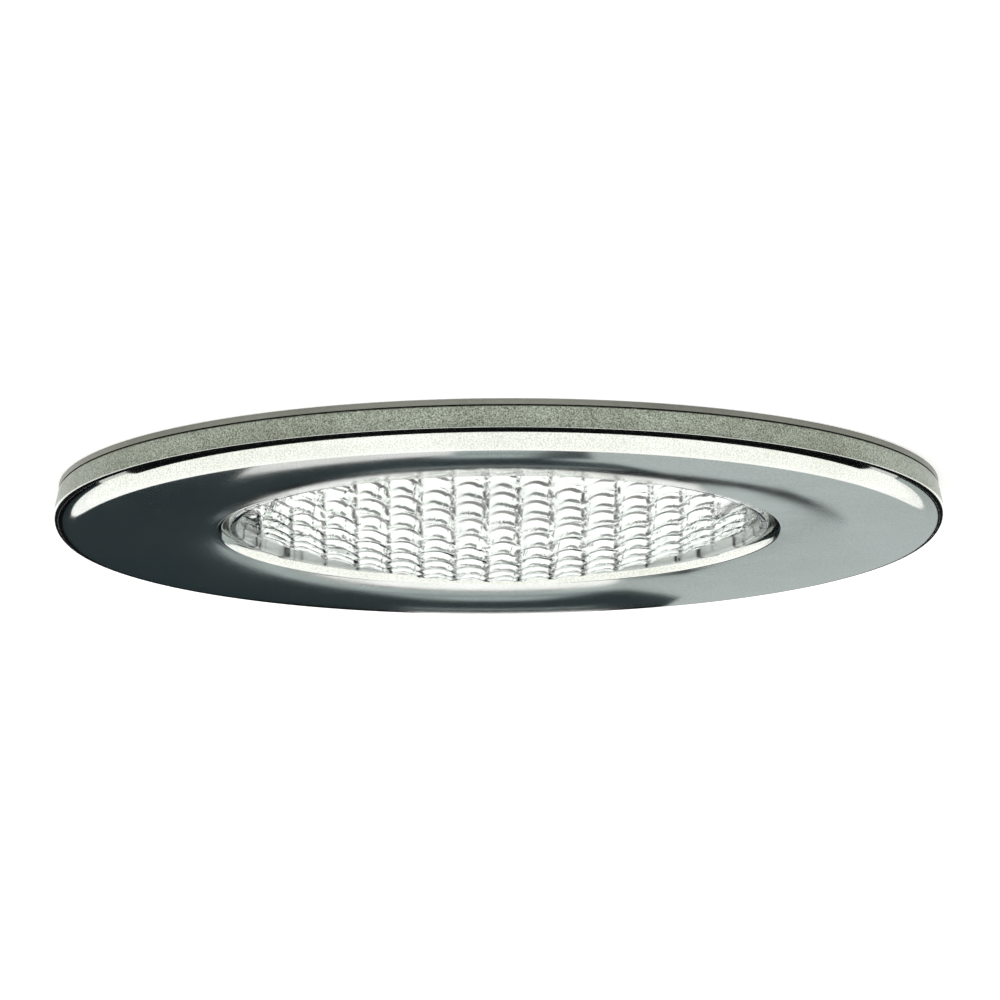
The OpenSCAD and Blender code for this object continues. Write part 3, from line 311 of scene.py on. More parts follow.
def clearGlass(name, tint, roughness, wave, depth):
    # clear glass with a slow waviness from the mould; wave and depth in mm
    material, tree, shader, place = startMaterial(name, Roughness=roughness, IOR=1.52)
    shader.inputs["Transmission Weight"].default_value = 1.0
    slow = addNode(tree, "ShaderNodeTexNoise", {"Vector": place, "Scale": 1 / (wave * mm), "Detail": 2.0})
    shade = addNode(tree, "ShaderNodeMix", {0: slow.outputs[0], 6: linear(tint[0]), 7: linear(tint[1])},
                    data_type="RGBA")
    bump = addNode(tree, "ShaderNodeBump", {"Height": slow.outputs[0], "Strength": 0.5, "Distance": depth * mm})
    link(tree, shade.outputs[2], shader, "Base Color")
    link(tree, bump.outputs[0], shader, "Normal")
    return material


# prismatic glass: sizes in mm for its finish and its mesh. The cells lie in columns, phase is the first one's place
glass = dict(domeR=48.6, centreZ=41.92, thick=2.5, bodyR=20.6, rimR=22.9, rimZ=-1.35, rimT=2.2, rimEase=0.15,
             step=1.9, pitchX=2.47, pitchY=2.85, phaseX=-17.0, phaseY=0.5, columns=18, rows=18, zone=18.2,
             dimple=0.34, squeeze=1.3, cuts=3, edgeR=19.86, beadR=19.95, beadDrop=0.1, beadRound=0.2, steps=180,
             bowlSteps=30, groundZ=-3.0)

# pressed soda glass: clear, a little greenish; the steep sides of its cells throw the light away and read dark, and
# that dark is painted shade in its colour, as arcs and valley lines
cellLook = dict(clear=("fbfdfb", "f6faf7"), dark="0a0c0d", wave=2.2, waveBump=0.01, patch=0.9,
                arcR=1.05, arcT=0.36, arcDrop=0.5, arcFade=(0.1, -0.25), arcEnds=(-0.8, 0.6), arcLeft=0.25,
                arcShadeStrength=2.2, lineT=0.24, lineShift=-0.25, lineSway=0.5, lineShadeStrength=1.3)


def prismGlass():
    c, g = cellLook, glass
    material, tree, shader, place = startMaterial("pressedSodaGlass", Roughness=0.02, IOR=1.52)
    shader.inputs["Transmission Weight"].default_value = 1.0
    slow = addNode(tree, "ShaderNodeTexNoise", {"Vector": place, "Scale": 1 / (c["wave"] * mm), "Detail": 2.0})
    broken = addNode(tree, "ShaderNodeTexNoise", {"Vector": place, "Scale": 1 / (c["patch"] * mm), "Detail": 1.0})
    patchy = addNode(tree, "ShaderNodeMapRange", {"Value": broken.outputs[0], "From Min": 0.38, "From Max": 0.62})
    arcShadeMasks = []
    for column in (0, 1):               # two staggered grids of cells
        start = (-(g["phaseX"] + column * g["pitchX"]) * mm, -(g["phaseY"] + column * g["pitchY"] / 2) * mm, 0)
        drop = (0, -c["arcDrop"] * mm, 0)
        moved = addNode(tree, "ShaderNodeVectorMath", {0: place, 1: start}, operation="ADD")
        limit = Vector((g["pitchX"], g["pitchY"] / 2, 1000)) * mm
        cell = addNode(tree, "ShaderNodeVectorMath", {0: moved.outputs[0], 1: limit, 2: -limit}, operation="WRAP")
        apart = addNode(tree, "ShaderNodeSeparateXYZ", {0: cell.outputs[0]})
        flat = addNode(tree, "ShaderNodeVectorMath", {0: cell.outputs[0], 1: (1, 1, 0)}, operation="MULTIPLY")
        lower = addNode(tree, "ShaderNodeVectorMath", {0: flat.outputs[0], 1: drop}, operation="ADD")
        away = addNode(tree, "ShaderNodeVectorMath", {0: lower.outputs[0]}, operation="LENGTH")
        # the painted shade arc on the near side of the cell, a little stronger at its right end
        offArc = addNode(tree, "ShaderNodeMath", {0: away.outputs["Value"], 1: c["arcR"] * mm}, operation="SUBTRACT")
        size = addNode(tree, "ShaderNodeMath", {0: offArc.outputs[0]}, operation="ABSOLUTE")
        ring = addNode(tree, "ShaderNodeMapRange", {"Value": size.outputs[0], "From Min": 0.0,
                                                   "From Max": c["arcT"] * mm, "To Min": 1.0, "To Max": 0.0})
        near = addNode(tree, "ShaderNodeMapRange", {"Value": apart.outputs[1], "From Min": c["arcFade"][0] * mm,
                                                   "From Max": c["arcFade"][1] * mm})
        right = addNode(tree, "ShaderNodeMapRange", {"Value": apart.outputs[0], "From Min": c["arcEnds"][0] * mm,
                                                    "From Max": c["arcEnds"][1] * mm, "To Min": c["arcLeft"],
                                                    "To Max": 1.0})
        first = addNode(tree, "ShaderNodeMath", {0: ring.outputs[0], 1: near.outputs[0]}, operation="MULTIPLY")
        second = addNode(tree, "ShaderNodeMath", {0: first.outputs[0], 1: right.outputs[0]}, operation="MULTIPLY")
        arcShadeMask = addNode(tree, "ShaderNodeMath", {0: second.outputs[0], 1: c["arcShadeStrength"]}, operation="MULTIPLY",
                          use_clamp=True)
        arcShadeMasks.append(arcShadeMask)
    # the painted shade line in the valley between two columns of cells
    moved = addNode(tree, "ShaderNodeVectorMath",
                    {0: place, 1: (-(g["phaseX"] + g["pitchX"] / 2) * mm, 0, 0)}, operation="ADD")
    sway = addNode(tree, "ShaderNodeVectorMath", {0: broken.outputs[1], "Scale": c["lineSway"] * mm},
                   operation="SCALE")
    swayed = addNode(tree, "ShaderNodeVectorMath", {0: moved.outputs[0], 1: sway.outputs[0]}, operation="ADD")
    limit = Vector((g["pitchX"] / 2, 1000 * mm, 1000 * mm))
    limit.x *= mm
    wrapped = addNode(tree, "ShaderNodeVectorMath", {0: swayed.outputs[0], 1: limit, 2: -limit}, operation="WRAP")
    side = addNode(tree, "ShaderNodeSeparateXYZ", {0: wrapped.outputs[0]})
    size = addNode(tree, "ShaderNodeMath", {0: side.outputs[0], 1: c["lineShift"] * mm}, operation="ADD")
    size = addNode(tree, "ShaderNodeMath", {0: size.outputs[0]}, operation="ABSOLUTE")
    line = addNode(tree, "ShaderNodeMapRange", {"Value": size.outputs[0], "From Min": 0.0,
                                               "From Max": c["lineT"] * mm, "To Min": c["lineShadeStrength"], "To Max": 0.0})
    valleyShade = addNode(tree, "ShaderNodeMath", {0: line.outputs[0], 1: patchy.outputs[0]}, operation="MULTIPLY")
    both = addNode(tree, "ShaderNodeMath", {0: arcShadeMasks[0].outputs[0], 1: arcShadeMasks[1].outputs[0]}, operation="MAXIMUM")
    every = addNode(tree, "ShaderNodeMath", {0: both.outputs[0], 1: valleyShade.outputs[0]}, operation="MAXIMUM")
    shade = addNode(tree, "ShaderNodeMix", {0: slow.outputs[0], 6: linear(c["clear"][0]), 7: linear(c["clear"][1])},
                    data_type="RGBA")
    # painted shade: the arcs and valley lines darken the colour of the glass
    dark = addNode(tree, "ShaderNodeMix", {0: every.outputs[0], 6: shade.outputs[2], 7: linear(c["dark"])},
                   data_type="RGBA")
    bump = addNode(tree, "ShaderNodeBump", {"Height": slow.outputs[0], "Strength": 0.5,
                                           "Distance": c["waveBump"] * mm})
    link(tree, dark.outputs[2], shader, "Base Color")
    link(tree, bump.outputs[0], shader, "Normal")
    return material


finish["pressedGlass"] = prismGlass()
# ground rim of the pressed glass: matt white where the mould parts and where it sits in its gasket
finish["groundRim"] = surface("groundGlassRim", ("eef2f0", "e2e8e5"), (0.5, 0.65), 0.3, 0.01, blotch=6.0)
# fused quartz of the capsule: colourless and even
finish["quartz"] = clearGlass("fusedQuartz", ("ffffff", "fbfcfd"), 0.0, 4.0, 0.004)

# which CAD nodes wear which finish
wears = {
    "nickelZinc": ["mounting_flange"],
    "galvanised": ["bayonet_ring", "lampholder_bracket", "clip_bracket_left", "clip_bracket_right"],
    "springSteel": ["glass_retainer", "clip_arm_left", "clip_arm_right", "clip_spring_left", "clip_spring_right"],
    "screwSteel": ["bayonet_screws", "lampholder_screws", "junction_screws", "terminal_screws", "clamp_screws",
                   "lid_hinge_pin", "clip_pin_left", "clip_pin_right"],
    "rivet": ["can_rivets", "bracket_rivets", "clip_rivets"],
    "can": ["housing_can"],
    "reflector": ["reflector"],
    "steatite": ["lampholder"],
    "brass": ["lampholder_contacts", "terminal_clamps"],
    "box": ["junction_box", "junction_lid", "cord_clamp"],
    "terminal": ["terminal_block"],
    "siliconeBlack": ["bezel_seal", "glass_gasket"],
    "siliconeRed": ["lead_bushing"],
    "foam": ["soffit_gasket"],
    "rubber": ["cable_grommet"],
    "padRubber": ["clip_pad_left", "clip_pad_right"],
    "leadRed": ["lead_live"],
    "leadBlack": ["lead_neutral"],
    "pins": ["lamp_pins"],
    "tungsten": ["lamp_filament"],
    "satinNickel": ["trim_ring"],
    "pressedGlass": ["prismatic_glass"],
    "quartz": ["lamp_capsule"],
}
for finishName, wearers in wears.items():
    for nodeName in wearers:
        slots = nodes[nodeName].data.materials
        for index in range(len(slots)):
            slots[index] = finish[finishName]
print("finishes on the CAD nodes")


def dress(piece, finishName, body, replaced, degrees=32):
    # last touches of a new piece: shading, finish, what it stands for and what it rides on
    smoothByAngle(piece, degrees)
    if not piece.data.materials:
        piece.data.materials.append(finish[finishName])
    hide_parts(*replaced)
    if body:
        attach(piece, body)
    deselectAll()


# trim ring: radii and heights in mm
ring = dict(topR=33.66, topZ=-0.5, rim=34.0, low=-3.75, edge=1.5, lipR=20.9, lip=0.75, ledge=-1.75,
            neckIn=23.3, neckOut=24.9, neckTop=2.9, grooveR=24.1, groove=(1.0, 1.9), shelf=-2.3, sideIn=32.3,
            lugR=27.0, lugZ=(-0.9, 0.6), lugHalf=12, lugs=(90, 210, 330),
            crownOuter=-2.0, crownInner=3.9,    # lean of the face at its edges, in degrees
            topEase=(0.12, 0.02, 0.1), lift=0.01, neckEase=0.2, sideFrom=33.5, sideLow=-2.3,
            edgeSteps=18, faceSteps=40, lipSteps=16, steps=180)


def makeTrimRing():
    r = ring
    edgeR = r["rim"] - r["edge"]
    easeIn, easeOut, easeDown = r["topEase"]
    profile = [(r["sideIn"], r["topZ"]), (r["topR"] - easeIn, r["topZ"]), (r["topR"] - easeOut, r["topZ"] - easeDown)]
    profile += arc(edgeR, r["low"] + r["edge"] + r["lift"], r["edge"], 0, -90 - r["crownOuter"], r["edgeSteps"])
    # the face is pressed slightly crowned: it leans more and more towards the opening
    steps, span = r["faceSteps"], edgeR - r["lipR"] - r["lip"]
    for i in range(1, steps + 1):
        lean = r["crownOuter"] + (r["crownInner"] - r["crownOuter"]) * (i - 0.5) / steps
        radius, height = profile[-1]
        profile.append((radius - span / steps, height + span / steps * math.tan(math.radians(lean))))
    lipZ = profile[-1][1] + r["lip"] * math.cos(math.radians(r["crownInner"]))
    profile += arc(r["lipR"] + r["lip"], lipZ, r["lip"], -90 - r["crownInner"], -180, r["lipSteps"])[1:]
    ease = r["neckEase"]
    profile += [(r["lipR"], r["ledge"]), (r["neckIn"], r["ledge"]), (r["neckIn"], r["groove"][0]),
                (r["grooveR"], r["groove"][0]), (r["grooveR"], r["groove"][1]), (r["neckIn"], r["groove"][1]),
                (r["neckIn"], r["neckTop"] - ease), (r["neckIn"] + ease, r["neckTop"]),
                (r["neckOut"] - ease, r["neckTop"]), (r["neckOut"], r["neckTop"] - ease),
                (r["neckOut"], r["lugZ"][1]), (r["neckOut"], r["lugZ"][0]), (r["neckOut"], r["shelf"]),
                (r["sideIn"], r["shelf"])]
    piece = turned("trimRing", profile, r["steps"], keep=True)

    def onLug(centre, normal):
        turn = math.degrees(math.atan2(centre.y, centre.x)) % 360
        near = min(abs((turn - lug + 180) % 360 - 180) for lug in r["lugs"])
        return (near < r["lugHalf"] and r["lugZ"][0] < centre.z < r["lugZ"][1]
                and abs(math.hypot(centre.x, centre.y) - r["neckOut"]) < 0.1)

    selectFaces(piece, onLug)
    grow = r["lugR"] / r["neckOut"]
    bpy.ops.mesh.extrude_region_move(TRANSFORM_OT_translate={"value": (0, 0, 0)})
    bpy.ops.transform.resize(value=(grow, grow, 1), center_override=(0, 0, 0))
    bpy.ops.object.mode_set(mode="OBJECT")
    # the side keeps a matter finish than the face, and a darker colour that is painted shade: second material on its
    # faces
    piece.data.materials.append(finish["satinNickel"])
    piece.data.materials.append(finish["satinNickelSideShade"])
    bpy.ops.object.mode_set(mode="EDIT")
    selectFaces(piece, lambda c, n: math.hypot(c.x, c.y) > r["sideFrom"] and c.z > r["sideLow"])
    piece.active_material_index = 1
    bpy.ops.object.material_slot_assign()
    bpy.ops.object.mode_set(mode="OBJECT")
    dress(piece, "satinNickel", "bezel", ["trim_ring"], 24)


makeTrimRing()
print("trim ring")


def nearestCell(x, y):
    # centre of the pressed cell that a point in mm lies in: columns, every other one half a row further
    g = glass
    middle = round((x - g["phaseX"]) / g["pitchX"])
    found = []
    for column in (middle - 1, middle, middle + 1):
        cellX = g["phaseX"] + column * g["pitchX"]
        shift = g["phaseY"] + (0.5 if column % 2 else 0.0) * g["pitchY"]
        cellY = shift + round((y - shift) / g["pitchY"]) * g["pitchY"]
        found.append((((x - cellX) * g["squeeze"]) ** 2 + (y - cellY) ** 2, cellX, cellY))
    return min(found)


def cellHalf():                         # from a cell's middle to its outermost corner, along x
    g = glass
    return (g["pitchX"] ** 2 + (g["pitchY"] / 2 / g["squeeze"]) ** 2) / 2 / g["pitchX"]


def makeCellSheet():
    # one flat hexagon, subdivided, repeated into columns and laid side by side
    g = glass
    wide = cellHalf()
    narrow = g["pitchX"] - wide
    deselectAll()
    bpy.ops.mesh.primitive_circle_add(vertices=6, radius=wide * mm, fill_type="TRIFAN", location=(0, 0, 0),
                                      rotation=(0, 0, math.radians(90)))
    sheet = bpy.context.object
    sheet.name = sheet.data.name = "prismaticGlass"
    settle(sheet)
    bpy.ops.object.mode_set(mode="EDIT")
    selectVerts(sheet, lambda v: abs(v.y) > 0.3)
    bpy.ops.transform.resize(value=(narrow / (wide / 2), g["pitchY"] / 2 / (wide * math.sqrt(3) / 2), 1),
                             center_override=(0, 0, 0))
    bpy.ops.mesh.select_all(action="SELECT")
    bpy.ops.mesh.subdivide(number_cuts=g["cuts"])
    startX = g["phaseX"] - 2 * g["pitchX"]
    startY = g["phaseY"] - g["rows"] / 2 * g["pitchY"]
    bpy.ops.transform.translate(value=(startX * mm, startY * mm, 0))
    bpy.ops.object.mode_set(mode="OBJECT")
    applyModifier(sheet, "ARRAY", count=g["rows"], use_relative_offset=False, use_constant_offset=True,
                  constant_offset_displace=(0, g["pitchY"] * mm, 0))
    bpy.ops.object.mode_set(mode="EDIT")
    bpy.ops.mesh.select_all(action="SELECT")
    bpy.ops.mesh.duplicate_move(TRANSFORM_OT_translate={"value": (g["pitchX"] * mm, g["pitchY"] / 2 * mm, 0)})
    bpy.ops.object.mode_set(mode="OBJECT")
    applyModifier(sheet, "ARRAY", count=g["columns"] // 2, use_relative_offset=False, use_constant_offset=True,
                  constant_offset_displace=(2 * g["pitchX"] * mm, 0, 0))
    bpy.ops.object.mode_set(mode="EDIT")
    bpy.ops.mesh.select_all(action="SELECT")
    bpy.ops.mesh.remove_doubles(threshold=0.00002)

    def outside(centre, normal):
        far, cellX, cellY = nearestCell(centre.x, centre.y)
        return math.hypot(cellX, cellY) > g["zone"]

    selectFaces(sheet, outside)
    bpy.ops.mesh.delete(type="FACE")
    return sheet


def makeGlass():
    g = glass
    sheet = makeCellSheet()
    # a plain border from the outline of the cells to a round edge
    bpy.ops.mesh.select_mode(type="VERT")
    bpy.ops.mesh.select_all(action="DESELECT")
    bpy.ops.mesh.primitive_circle_add(vertices=g["steps"], radius=g["edgeR"] * mm, fill_type="NOTHING",
                                      location=(0, 0, 0), rotation=(0, 0, math.radians(-90)))
    mesh = bmesh.from_edit_mesh(sheet.data)
    for edge in mesh.edges:
        edge.select = len(edge.link_faces) < 2
    for vert in mesh.verts:
        vert.select = any(edge.select for edge in vert.link_edges)
    mesh.select_flush_mode()
    bmesh.update_edit_mesh(sheet.data)
    bpy.ops.mesh.select_mode(type="EDGE")
    bpy.ops.mesh.bridge_edge_loops()
    bpy.ops.mesh.subdivide(number_cuts=2)
    bpy.ops.object.mode_set(mode="OBJECT")
    # laid on the dome, each cell pressed in as a round dimple
    corner = (cellHalf() * g["squeeze"]) ** 2
    for vert in sheet.data.vertices:
        x, y = vert.co.x / mm, vert.co.y / mm
        far, cellX, cellY = nearestCell(x, y)
        press = 0.0
        if math.hypot(cellX, cellY) <= g["zone"]:
            press = g["dimple"] * max(0.0, 1 - far / corner)
        away = g["domeR"] - press
        z = g["centreZ"] - math.sqrt(g["domeR"] ** 2 - x * x - y * y)
        out = Vector((x, y, z - g["centreZ"])).normalized()
        vert.co = (Vector((0, 0, g["centreZ"])) + out * away) * mm
    # shoulder, rim and the smooth inner bowl are turned and joined on
    innerR = g["domeR"] - g["thick"]
    edgeZ = g["centreZ"] - math.sqrt(g["domeR"] ** 2 - g["edgeR"] ** 2)
    shoulder = g["rimZ"] - g["step"]
    bead, ease = g["beadRound"], g["rimEase"]
    rim = [(g["edgeR"], edgeZ), (g["beadR"], edgeZ - g["beadDrop"])]
    rim += arc(g["beadR"] + bead, shoulder + bead, bead, -180, -90, 5)
    rim += arc(g["bodyR"] - bead, shoulder + bead, bead, -90, 0, 5)
    rim += [(g["bodyR"], g["rimZ"]), (g["rimR"] - ease, g["rimZ"]), (g["rimR"], g["rimZ"] + ease),
            (g["rimR"], g["rimZ"] + g["rimT"] - ease), (g["rimR"] - ease, g["rimZ"] + g["rimT"])]
    innerTop = math.sqrt(innerR ** 2 - (g["centreZ"] - g["rimZ"] - g["rimT"]) ** 2)
    for i in range(g["bowlSteps"] + 1):
        radius = innerTop * (1 - i / g["bowlSteps"])
        rim.append((radius, g["centreZ"] - math.sqrt(innerR ** 2 - radius ** 2)))
    # three steps for each one of the round edge, which the border's cuts divide by three
    rest = turned("glassRim", rim, 3 * g["steps"], closed=False)
    deselectAll()
    rest.select_set(True)
    sheet.select_set(True)
    bpy.context.view_layer.objects.active = sheet
    bpy.ops.object.join()
    bpy.ops.object.mode_set(mode="EDIT")
    bpy.ops.mesh.select_mode(type="VERT")
    bpy.ops.mesh.select_all(action="SELECT")
    bpy.ops.mesh.remove_doubles(threshold=0.00003)
    bpy.ops.mesh.normals_make_consistent(inside=False)
    # the pressed side looks down all over
    middle = Vector((0, 0, g["centreZ"]))
    selectFaces(sheet, lambda c, n: n.z > 0 and math.hypot(c.x, c.y) < g["edgeR"]
                and (c - middle).length > g["domeR"] - 1)
    bpy.ops.mesh.flip_normals()
    bpy.ops.object.mode_set(mode="OBJECT")
    sheet.data.materials.append(finish["pressedGlass"])
    sheet.data.materials.append(finish["groundRim"])
    bpy.ops.object.mode_set(mode="EDIT")
    selectFaces(sheet, lambda c, n: math.hypot(c.x, c.y) > g["bodyR"] - 0.02 and c.z > g["groundZ"])
    sheet.active_material_index = 1
    bpy.ops.object.material_slot_assign()
    bpy.ops.object.mode_set(mode="OBJECT")
    dress(sheet, "pressedGlass", "bezel", ["prismatic_glass"], 26)


makeGlass()
print("prismatic glass")


# torsion springs of the clips: sizes in mm
spring = dict(coilR=1.45, wireR=0.3, pitch=1.15, curls=4, pivotR=25.6, pivotZ=12.0, leg=5.0, reach=9.0, perTurn=28,
              slope=14.93, sides=12, blendR=(24.2, 27.6))


def springPath():
    s = spring
    slope = math.radians(s["slope"])
    turns = s["curls"] + (180 - (90 - s["slope"])) / 360
    half = turns * s["pitch"] / 2
    steps = round(turns * s["perTurn"])
    plan = [(-s["coilR"], -s["leg"] * f, -half) for f in (1.0, 0.75, 0.5, 0.25, 0.1)]
    for i in range(steps + 1):
        t = math.pi - i / steps * turns * 2 * math.pi
        plan.append((s["coilR"] * math.cos(t), s["coilR"] * math.sin(t), -half + i / steps * turns * s["pitch"]))
    for f in (0.1, 0.25, 0.5, 0.75, 1.0):
        plan.append((s["coilR"] * math.sin(slope) + f * s["reach"] * math.cos(slope),
                     s["coilR"] * math.cos(slope) - f * s["reach"] * math.sin(slope), half))
    return plan


def makeSpring(side, sign):
    s = spring
    path = [(sign * (s["pivotR"] + u), -sign * y, s["pivotZ"] + w) for u, w, y in springPath()]
    piece = sweptWire("clipSpring_" + side, path, s["wireR"], s["sides"])
    dress(piece, "springSteel", None, ["clip_spring_" + side], 50)
    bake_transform(piece)


makeSpring("left", -1)
makeSpring("right", 1)
print("clip springs")


# stage: the soffit, the light and the cards that the metal mirrors
stage = dict(soffitHole=31.0, soffitLift=0.05, soffitSides=96, soffitGrow=(3, 30), soffitGlow=0.42, soffit="f2f2f0",
             world=0.75)


def makeSoffit():
    # pale board round the light, see-through from behind so that views from above show the whole light
    deselectAll()
    bpy.ops.mesh.primitive_circle_add(vertices=stage["soffitSides"], radius=stage["soffitHole"] * mm,
                                      location=(0, 0, stage["soffitLift"] * mm))
    board = bpy.context.object
    board.name = "soffitBoard"
    settle(board)
    bpy.ops.object.mode_set(mode="EDIT")
    bpy.ops.mesh.select_all(action="SELECT")
    for grow in stage["soffitGrow"]:
        bpy.ops.mesh.extrude_edges_move(TRANSFORM_OT_translate={"value": (0, 0, 0)})
        bpy.ops.transform.resize(value=(grow, grow, 1))
    bpy.ops.mesh.select_all(action="SELECT")
    bpy.ops.mesh.normals_make_consistent(inside=False)
    bpy.ops.object.mode_set(mode="OBJECT")
    if board.data.polygons[0].normal.z > 0:
        bpy.ops.object.mode_set(mode="EDIT")
        bpy.ops.mesh.select_all(action="SELECT")
        bpy.ops.mesh.flip_normals()
        bpy.ops.object.mode_set(mode="OBJECT")
    material, tree, shader, place = startMaterial("paintedSoffit", Roughness=0.9)
    shader.inputs["Base Color"].default_value = linear(stage["soffit"])
    shader.inputs["Specular IOR Level"].default_value = 0.0
    shader.inputs["Emission Color"].default_value = (1, 1, 1, 1)
    shader.inputs["Emission Strength"].default_value = stage["soffitGlow"]
    clear = addNode(tree, "ShaderNodeBsdfTransparent", {})
    behind = addNode(tree, "ShaderNodeNewGeometry", {}).outputs["Backfacing"]
    both = addNode(tree, "ShaderNodeMixShader", {0: behind, 1: shader.outputs[0], 2: clear.outputs[0]})
    tree.links.new(both.outputs[0], tree.nodes["Material Output"].inputs["Surface"])
    board.data.materials.append(material)


makeSoffit()


def mirrorOnly(piece, colour, glow):
    # a stage card that only the metal and the glass see
    material, tree, shader, place = startMaterial(piece.name + "Paper")
    tree.nodes.remove(shader)
    light = addNode(tree, "ShaderNodeEmission", {"Color": linear(colour), "Strength": glow})
    tree.links.new(light.outputs[0], tree.nodes["Material Output"].inputs["Surface"])
    piece.data.materials.append(material)
    piece.visible_camera = False
    piece.visible_diffuse = False
    piece.visible_shadow = False
    return piece


def card(name, azimuths, elevations, distance, colour, glow):
    # a curved card round the light, seen in the metal and the glass only; angles in degrees, distance in m
    deselectAll()
    steps = max(2, int(abs(azimuths[1] - azimuths[0]) / 4))
    low, high = [distance * math.tan(math.radians(e)) for e in elevations]
    start = math.radians(azimuths[0])
    corner = (distance * math.cos(start), distance * math.sin(start), low)
    bpy.ops.mesh.primitive_plane_add(size=0.001, location=corner)
    piece = bpy.context.object
    piece.name = name
    settle(piece)
    bpy.ops.object.mode_set(mode="EDIT")
    bpy.ops.mesh.select_mode(type="VERT")
    bpy.ops.mesh.select_all(action="SELECT")
    bpy.ops.mesh.merge(type="CENTER")
    bpy.ops.mesh.extrude_region_move(TRANSFORM_OT_translate={"value": (0, 0, high - low)})
    bpy.ops.mesh.select_all(action="SELECT")
    angle = -math.radians(azimuths[1] - azimuths[0])
    bpy.ops.mesh.spin(steps=steps, angle=angle, center=(0, 0, 0), axis=(0, 0, 1))
    bpy.ops.object.mode_set(mode="OBJECT")
    return mirrorOnly(piece, colour, glow)


def flatCard(name, corners, away, colour, glow):
    # a flat upright card behind the light, corners as (x, z) in mm, at y = away in mm
    piece = drawProfile(name, corners, True, lambda x, z: (x, away, z))
    bpy.ops.mesh.select_all(action="SELECT")
    bpy.ops.mesh.edge_face_add()
    bpy.ops.object.mode_set(mode="OBJECT")
    return mirrorOnly(piece, colour, glow)


def flatDisc(name, inner, outer, height, colour, glow):
    # a flat ring or disc, radii and height in mm
    piece = turned(name, [(inner, height), (outer, height)], 64, closed=False)
    return mirrorOnly(piece, colour, glow)


# azimuth 0 is +X, 90 is away from the photograph's camera, -90 is towards it
card("frontDark", (-200, 20), (-19, 11), 1.2, "0c0d0f", 1.0)
flatDisc("soffitShade", 41, 900, -0.25, "1a1c1d", 1.0)
flatDisc("lowWhite", 0.5, 3000, -450, "fffefb", 1.7)
# 1 m behind the light, what the flat face mirrors: white low down, a grey band, charcoal, black up to the soffit
flatCard("backWhite", [(-1500, -1200), (1500, -1200), (1500, -293), (-1500, -293)], 1000, "ffffff", 1.5)
flatCard("backBrown", [(-300, -299), (300, -299), (300, -291), (-300, -291)], 999, "4a3c30", 1.0)
flatCard("backBand", [(-14, -293), (8, -293), (4, -228), (-6, -228)], 1000, "bccaca", 1.0)
flatCard("backStreak", [(-75, -263), (75, -263), (75, -256), (-75, -256)], 999, "3e484c", 1.0)
flatCard("backCharcoal", [(-1500, -294), (1500, -294), (1500, -140), (-1500, -140)], 1002, "2c373b", 1.0)
flatCard("backBlack", [(-1500, -141), (1500, -141), (1500, -2), (-1500, -2)], 1001, "0a0b0c", 1.0)
flatCard("backWindow", [(-12, -129), (14, -129), (14, -30), (-12, -30)], 1000, "ffffff", 1.2)
flatCard("backGleam", [(-12, -164), (12, -164), (12, -156), (-12, -156)], 1000, "aeb8b8", 1.0)
# close behind: a pale wall on the right, a white edge low on the left and a black flag just behind the ring
flatCard("paleWall", [(13.5, -13), (260, -13), (260, -54), (8, -54), (8, -43), (3.5, -41), (9.4, -38), (13, -31),
                      (15, -26)], 150, "c6cfcf", 1.0)
flatCard("paleEdge", [(-22, -42), (-17, -43), (-9, -46), (-4, -47.5), (-4, -56), (-22, -56)], 150, "ffffff", 1.0)
flag = flatCard("blackFlag", [(3, -12.4), (9, -10.9), (14, -10.8), (18, -12.3), (27, -12.6), (22, -14.2),
                              (10, -13.9)], 42, "0b0f11", 1.0)
flag.visible_transmission = False
print("stage")

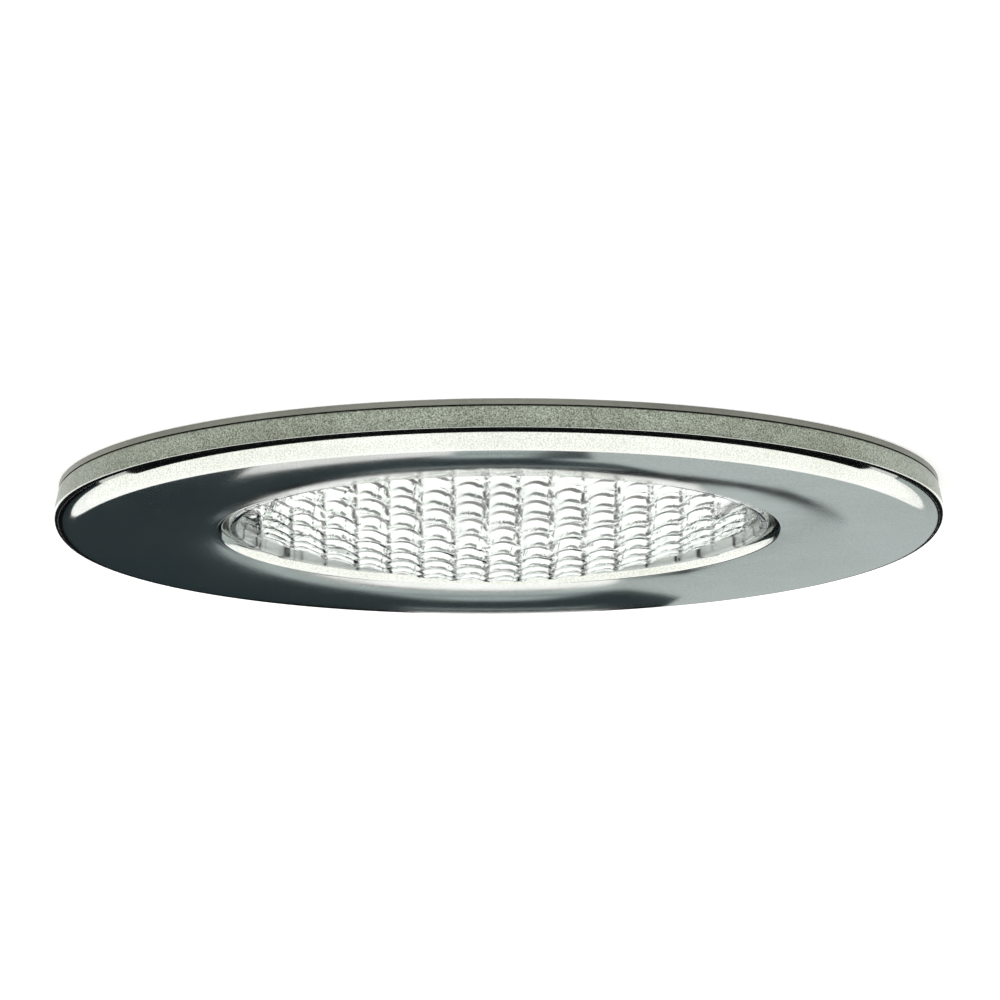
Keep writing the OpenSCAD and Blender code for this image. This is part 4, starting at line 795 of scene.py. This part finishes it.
# world: white for the camera, mirrors and glass, softer as light
world = bpy.data.worlds.new("paleStudio")
bpy.context.scene.world = world
world.use_nodes = True
tree = world.node_tree
tree.nodes.clear()
path = addNode(tree, "ShaderNodeLightPath", {})
first = addNode(tree, "ShaderNodeMath", {0: path.outputs["Is Camera Ray"], 1: path.outputs["Is Glossy Ray"]},
                operation="ADD")
second = addNode(tree, "ShaderNodeMath", {0: first.outputs[0], 1: path.outputs["Is Transmission Ray"]},
                 operation="ADD", use_clamp=True)
glow = addNode(tree, "ShaderNodeMapRange", {"Value": second.outputs[0], "To Min": stage["world"], "To Max": 1.0})
back = addNode(tree, "ShaderNodeBackground", {"Color": (1, 1, 1, 1), "Strength": glow.outputs[0]})
addNode(tree, "ShaderNodeOutputWorld", {"Surface": back.outputs[0]})


def softLight(name, place, size, power, aim=(0, 0, 0)):
    # a round area lamp that looks at aim
    data = bpy.data.lights.new(name, "AREA")
    data.shape = "DISK"
    data.size = size
    data.energy = power
    lamp = bpy.data.objects.new(name, data)
    bpy.context.scene.collection.objects.link(lamp)
    lamp.location = place
    lamp.rotation_euler = (Vector(aim) - Vector(place)).to_track_quat("-Z", "Y").to_euler()


# places and sizes in m, power in W
softLight("keySoft", (-0.9, -1.1, -1.0), size=0.9, power=9)
softLight("fillSoft", (1.2, -0.6, -1.1), size=1.0, power=6)
softLight("topSoft", (0.4, 0.8, 1.6), size=1.0, power=10)
# the lit capsule fills the mouth of the reflector with an even white
softLight("capsuleGlow", (0, 0, 0.001), size=0.0425, power=0.0046, aim=(0, 0, -1))

# camera: under the soffit, looking up at the ring as in the photograph
view = dict(elevation=11.14, roll=-0.362, distance=2.04, lens=962.06, sensor=36, clip=(0.1, 50),
            shiftX=0.107, shiftY=-1.138)    # degrees, m, and the aim's shift in mm


def makeCamera():
    rise, roll = math.radians(view["elevation"]), math.radians(view["roll"])
    ahead = Vector((0, math.cos(rise), math.sin(rise)))
    right0, up0 = Vector((1, 0, 0)), Vector((0, -math.sin(rise), math.cos(rise)))
    right = right0 * math.cos(roll) + up0 * math.sin(roll)
    up = up0 * math.cos(roll) - right0 * math.sin(roll)
    target = (right * view["shiftX"] + up * view["shiftY"]) * mm
    data = bpy.data.cameras.new("photoCamera")
    data.lens = view["lens"]
    data.sensor_width = view["sensor"]
    data.clip_start, data.clip_end = view["clip"]
    camera = bpy.data.objects.new("photoCamera", data)
    bpy.context.scene.collection.objects.link(camera)
    turn = Matrix((right, up, -ahead)).transposed().to_4x4()
    turn.translation = target - ahead * view["distance"]
    camera.matrix_world = turn
    bpy.context.scene.camera = camera


makeCamera()
bpy.context.scene.view_settings.view_transform = "Standard"
print("camera and light")

deselectAll()
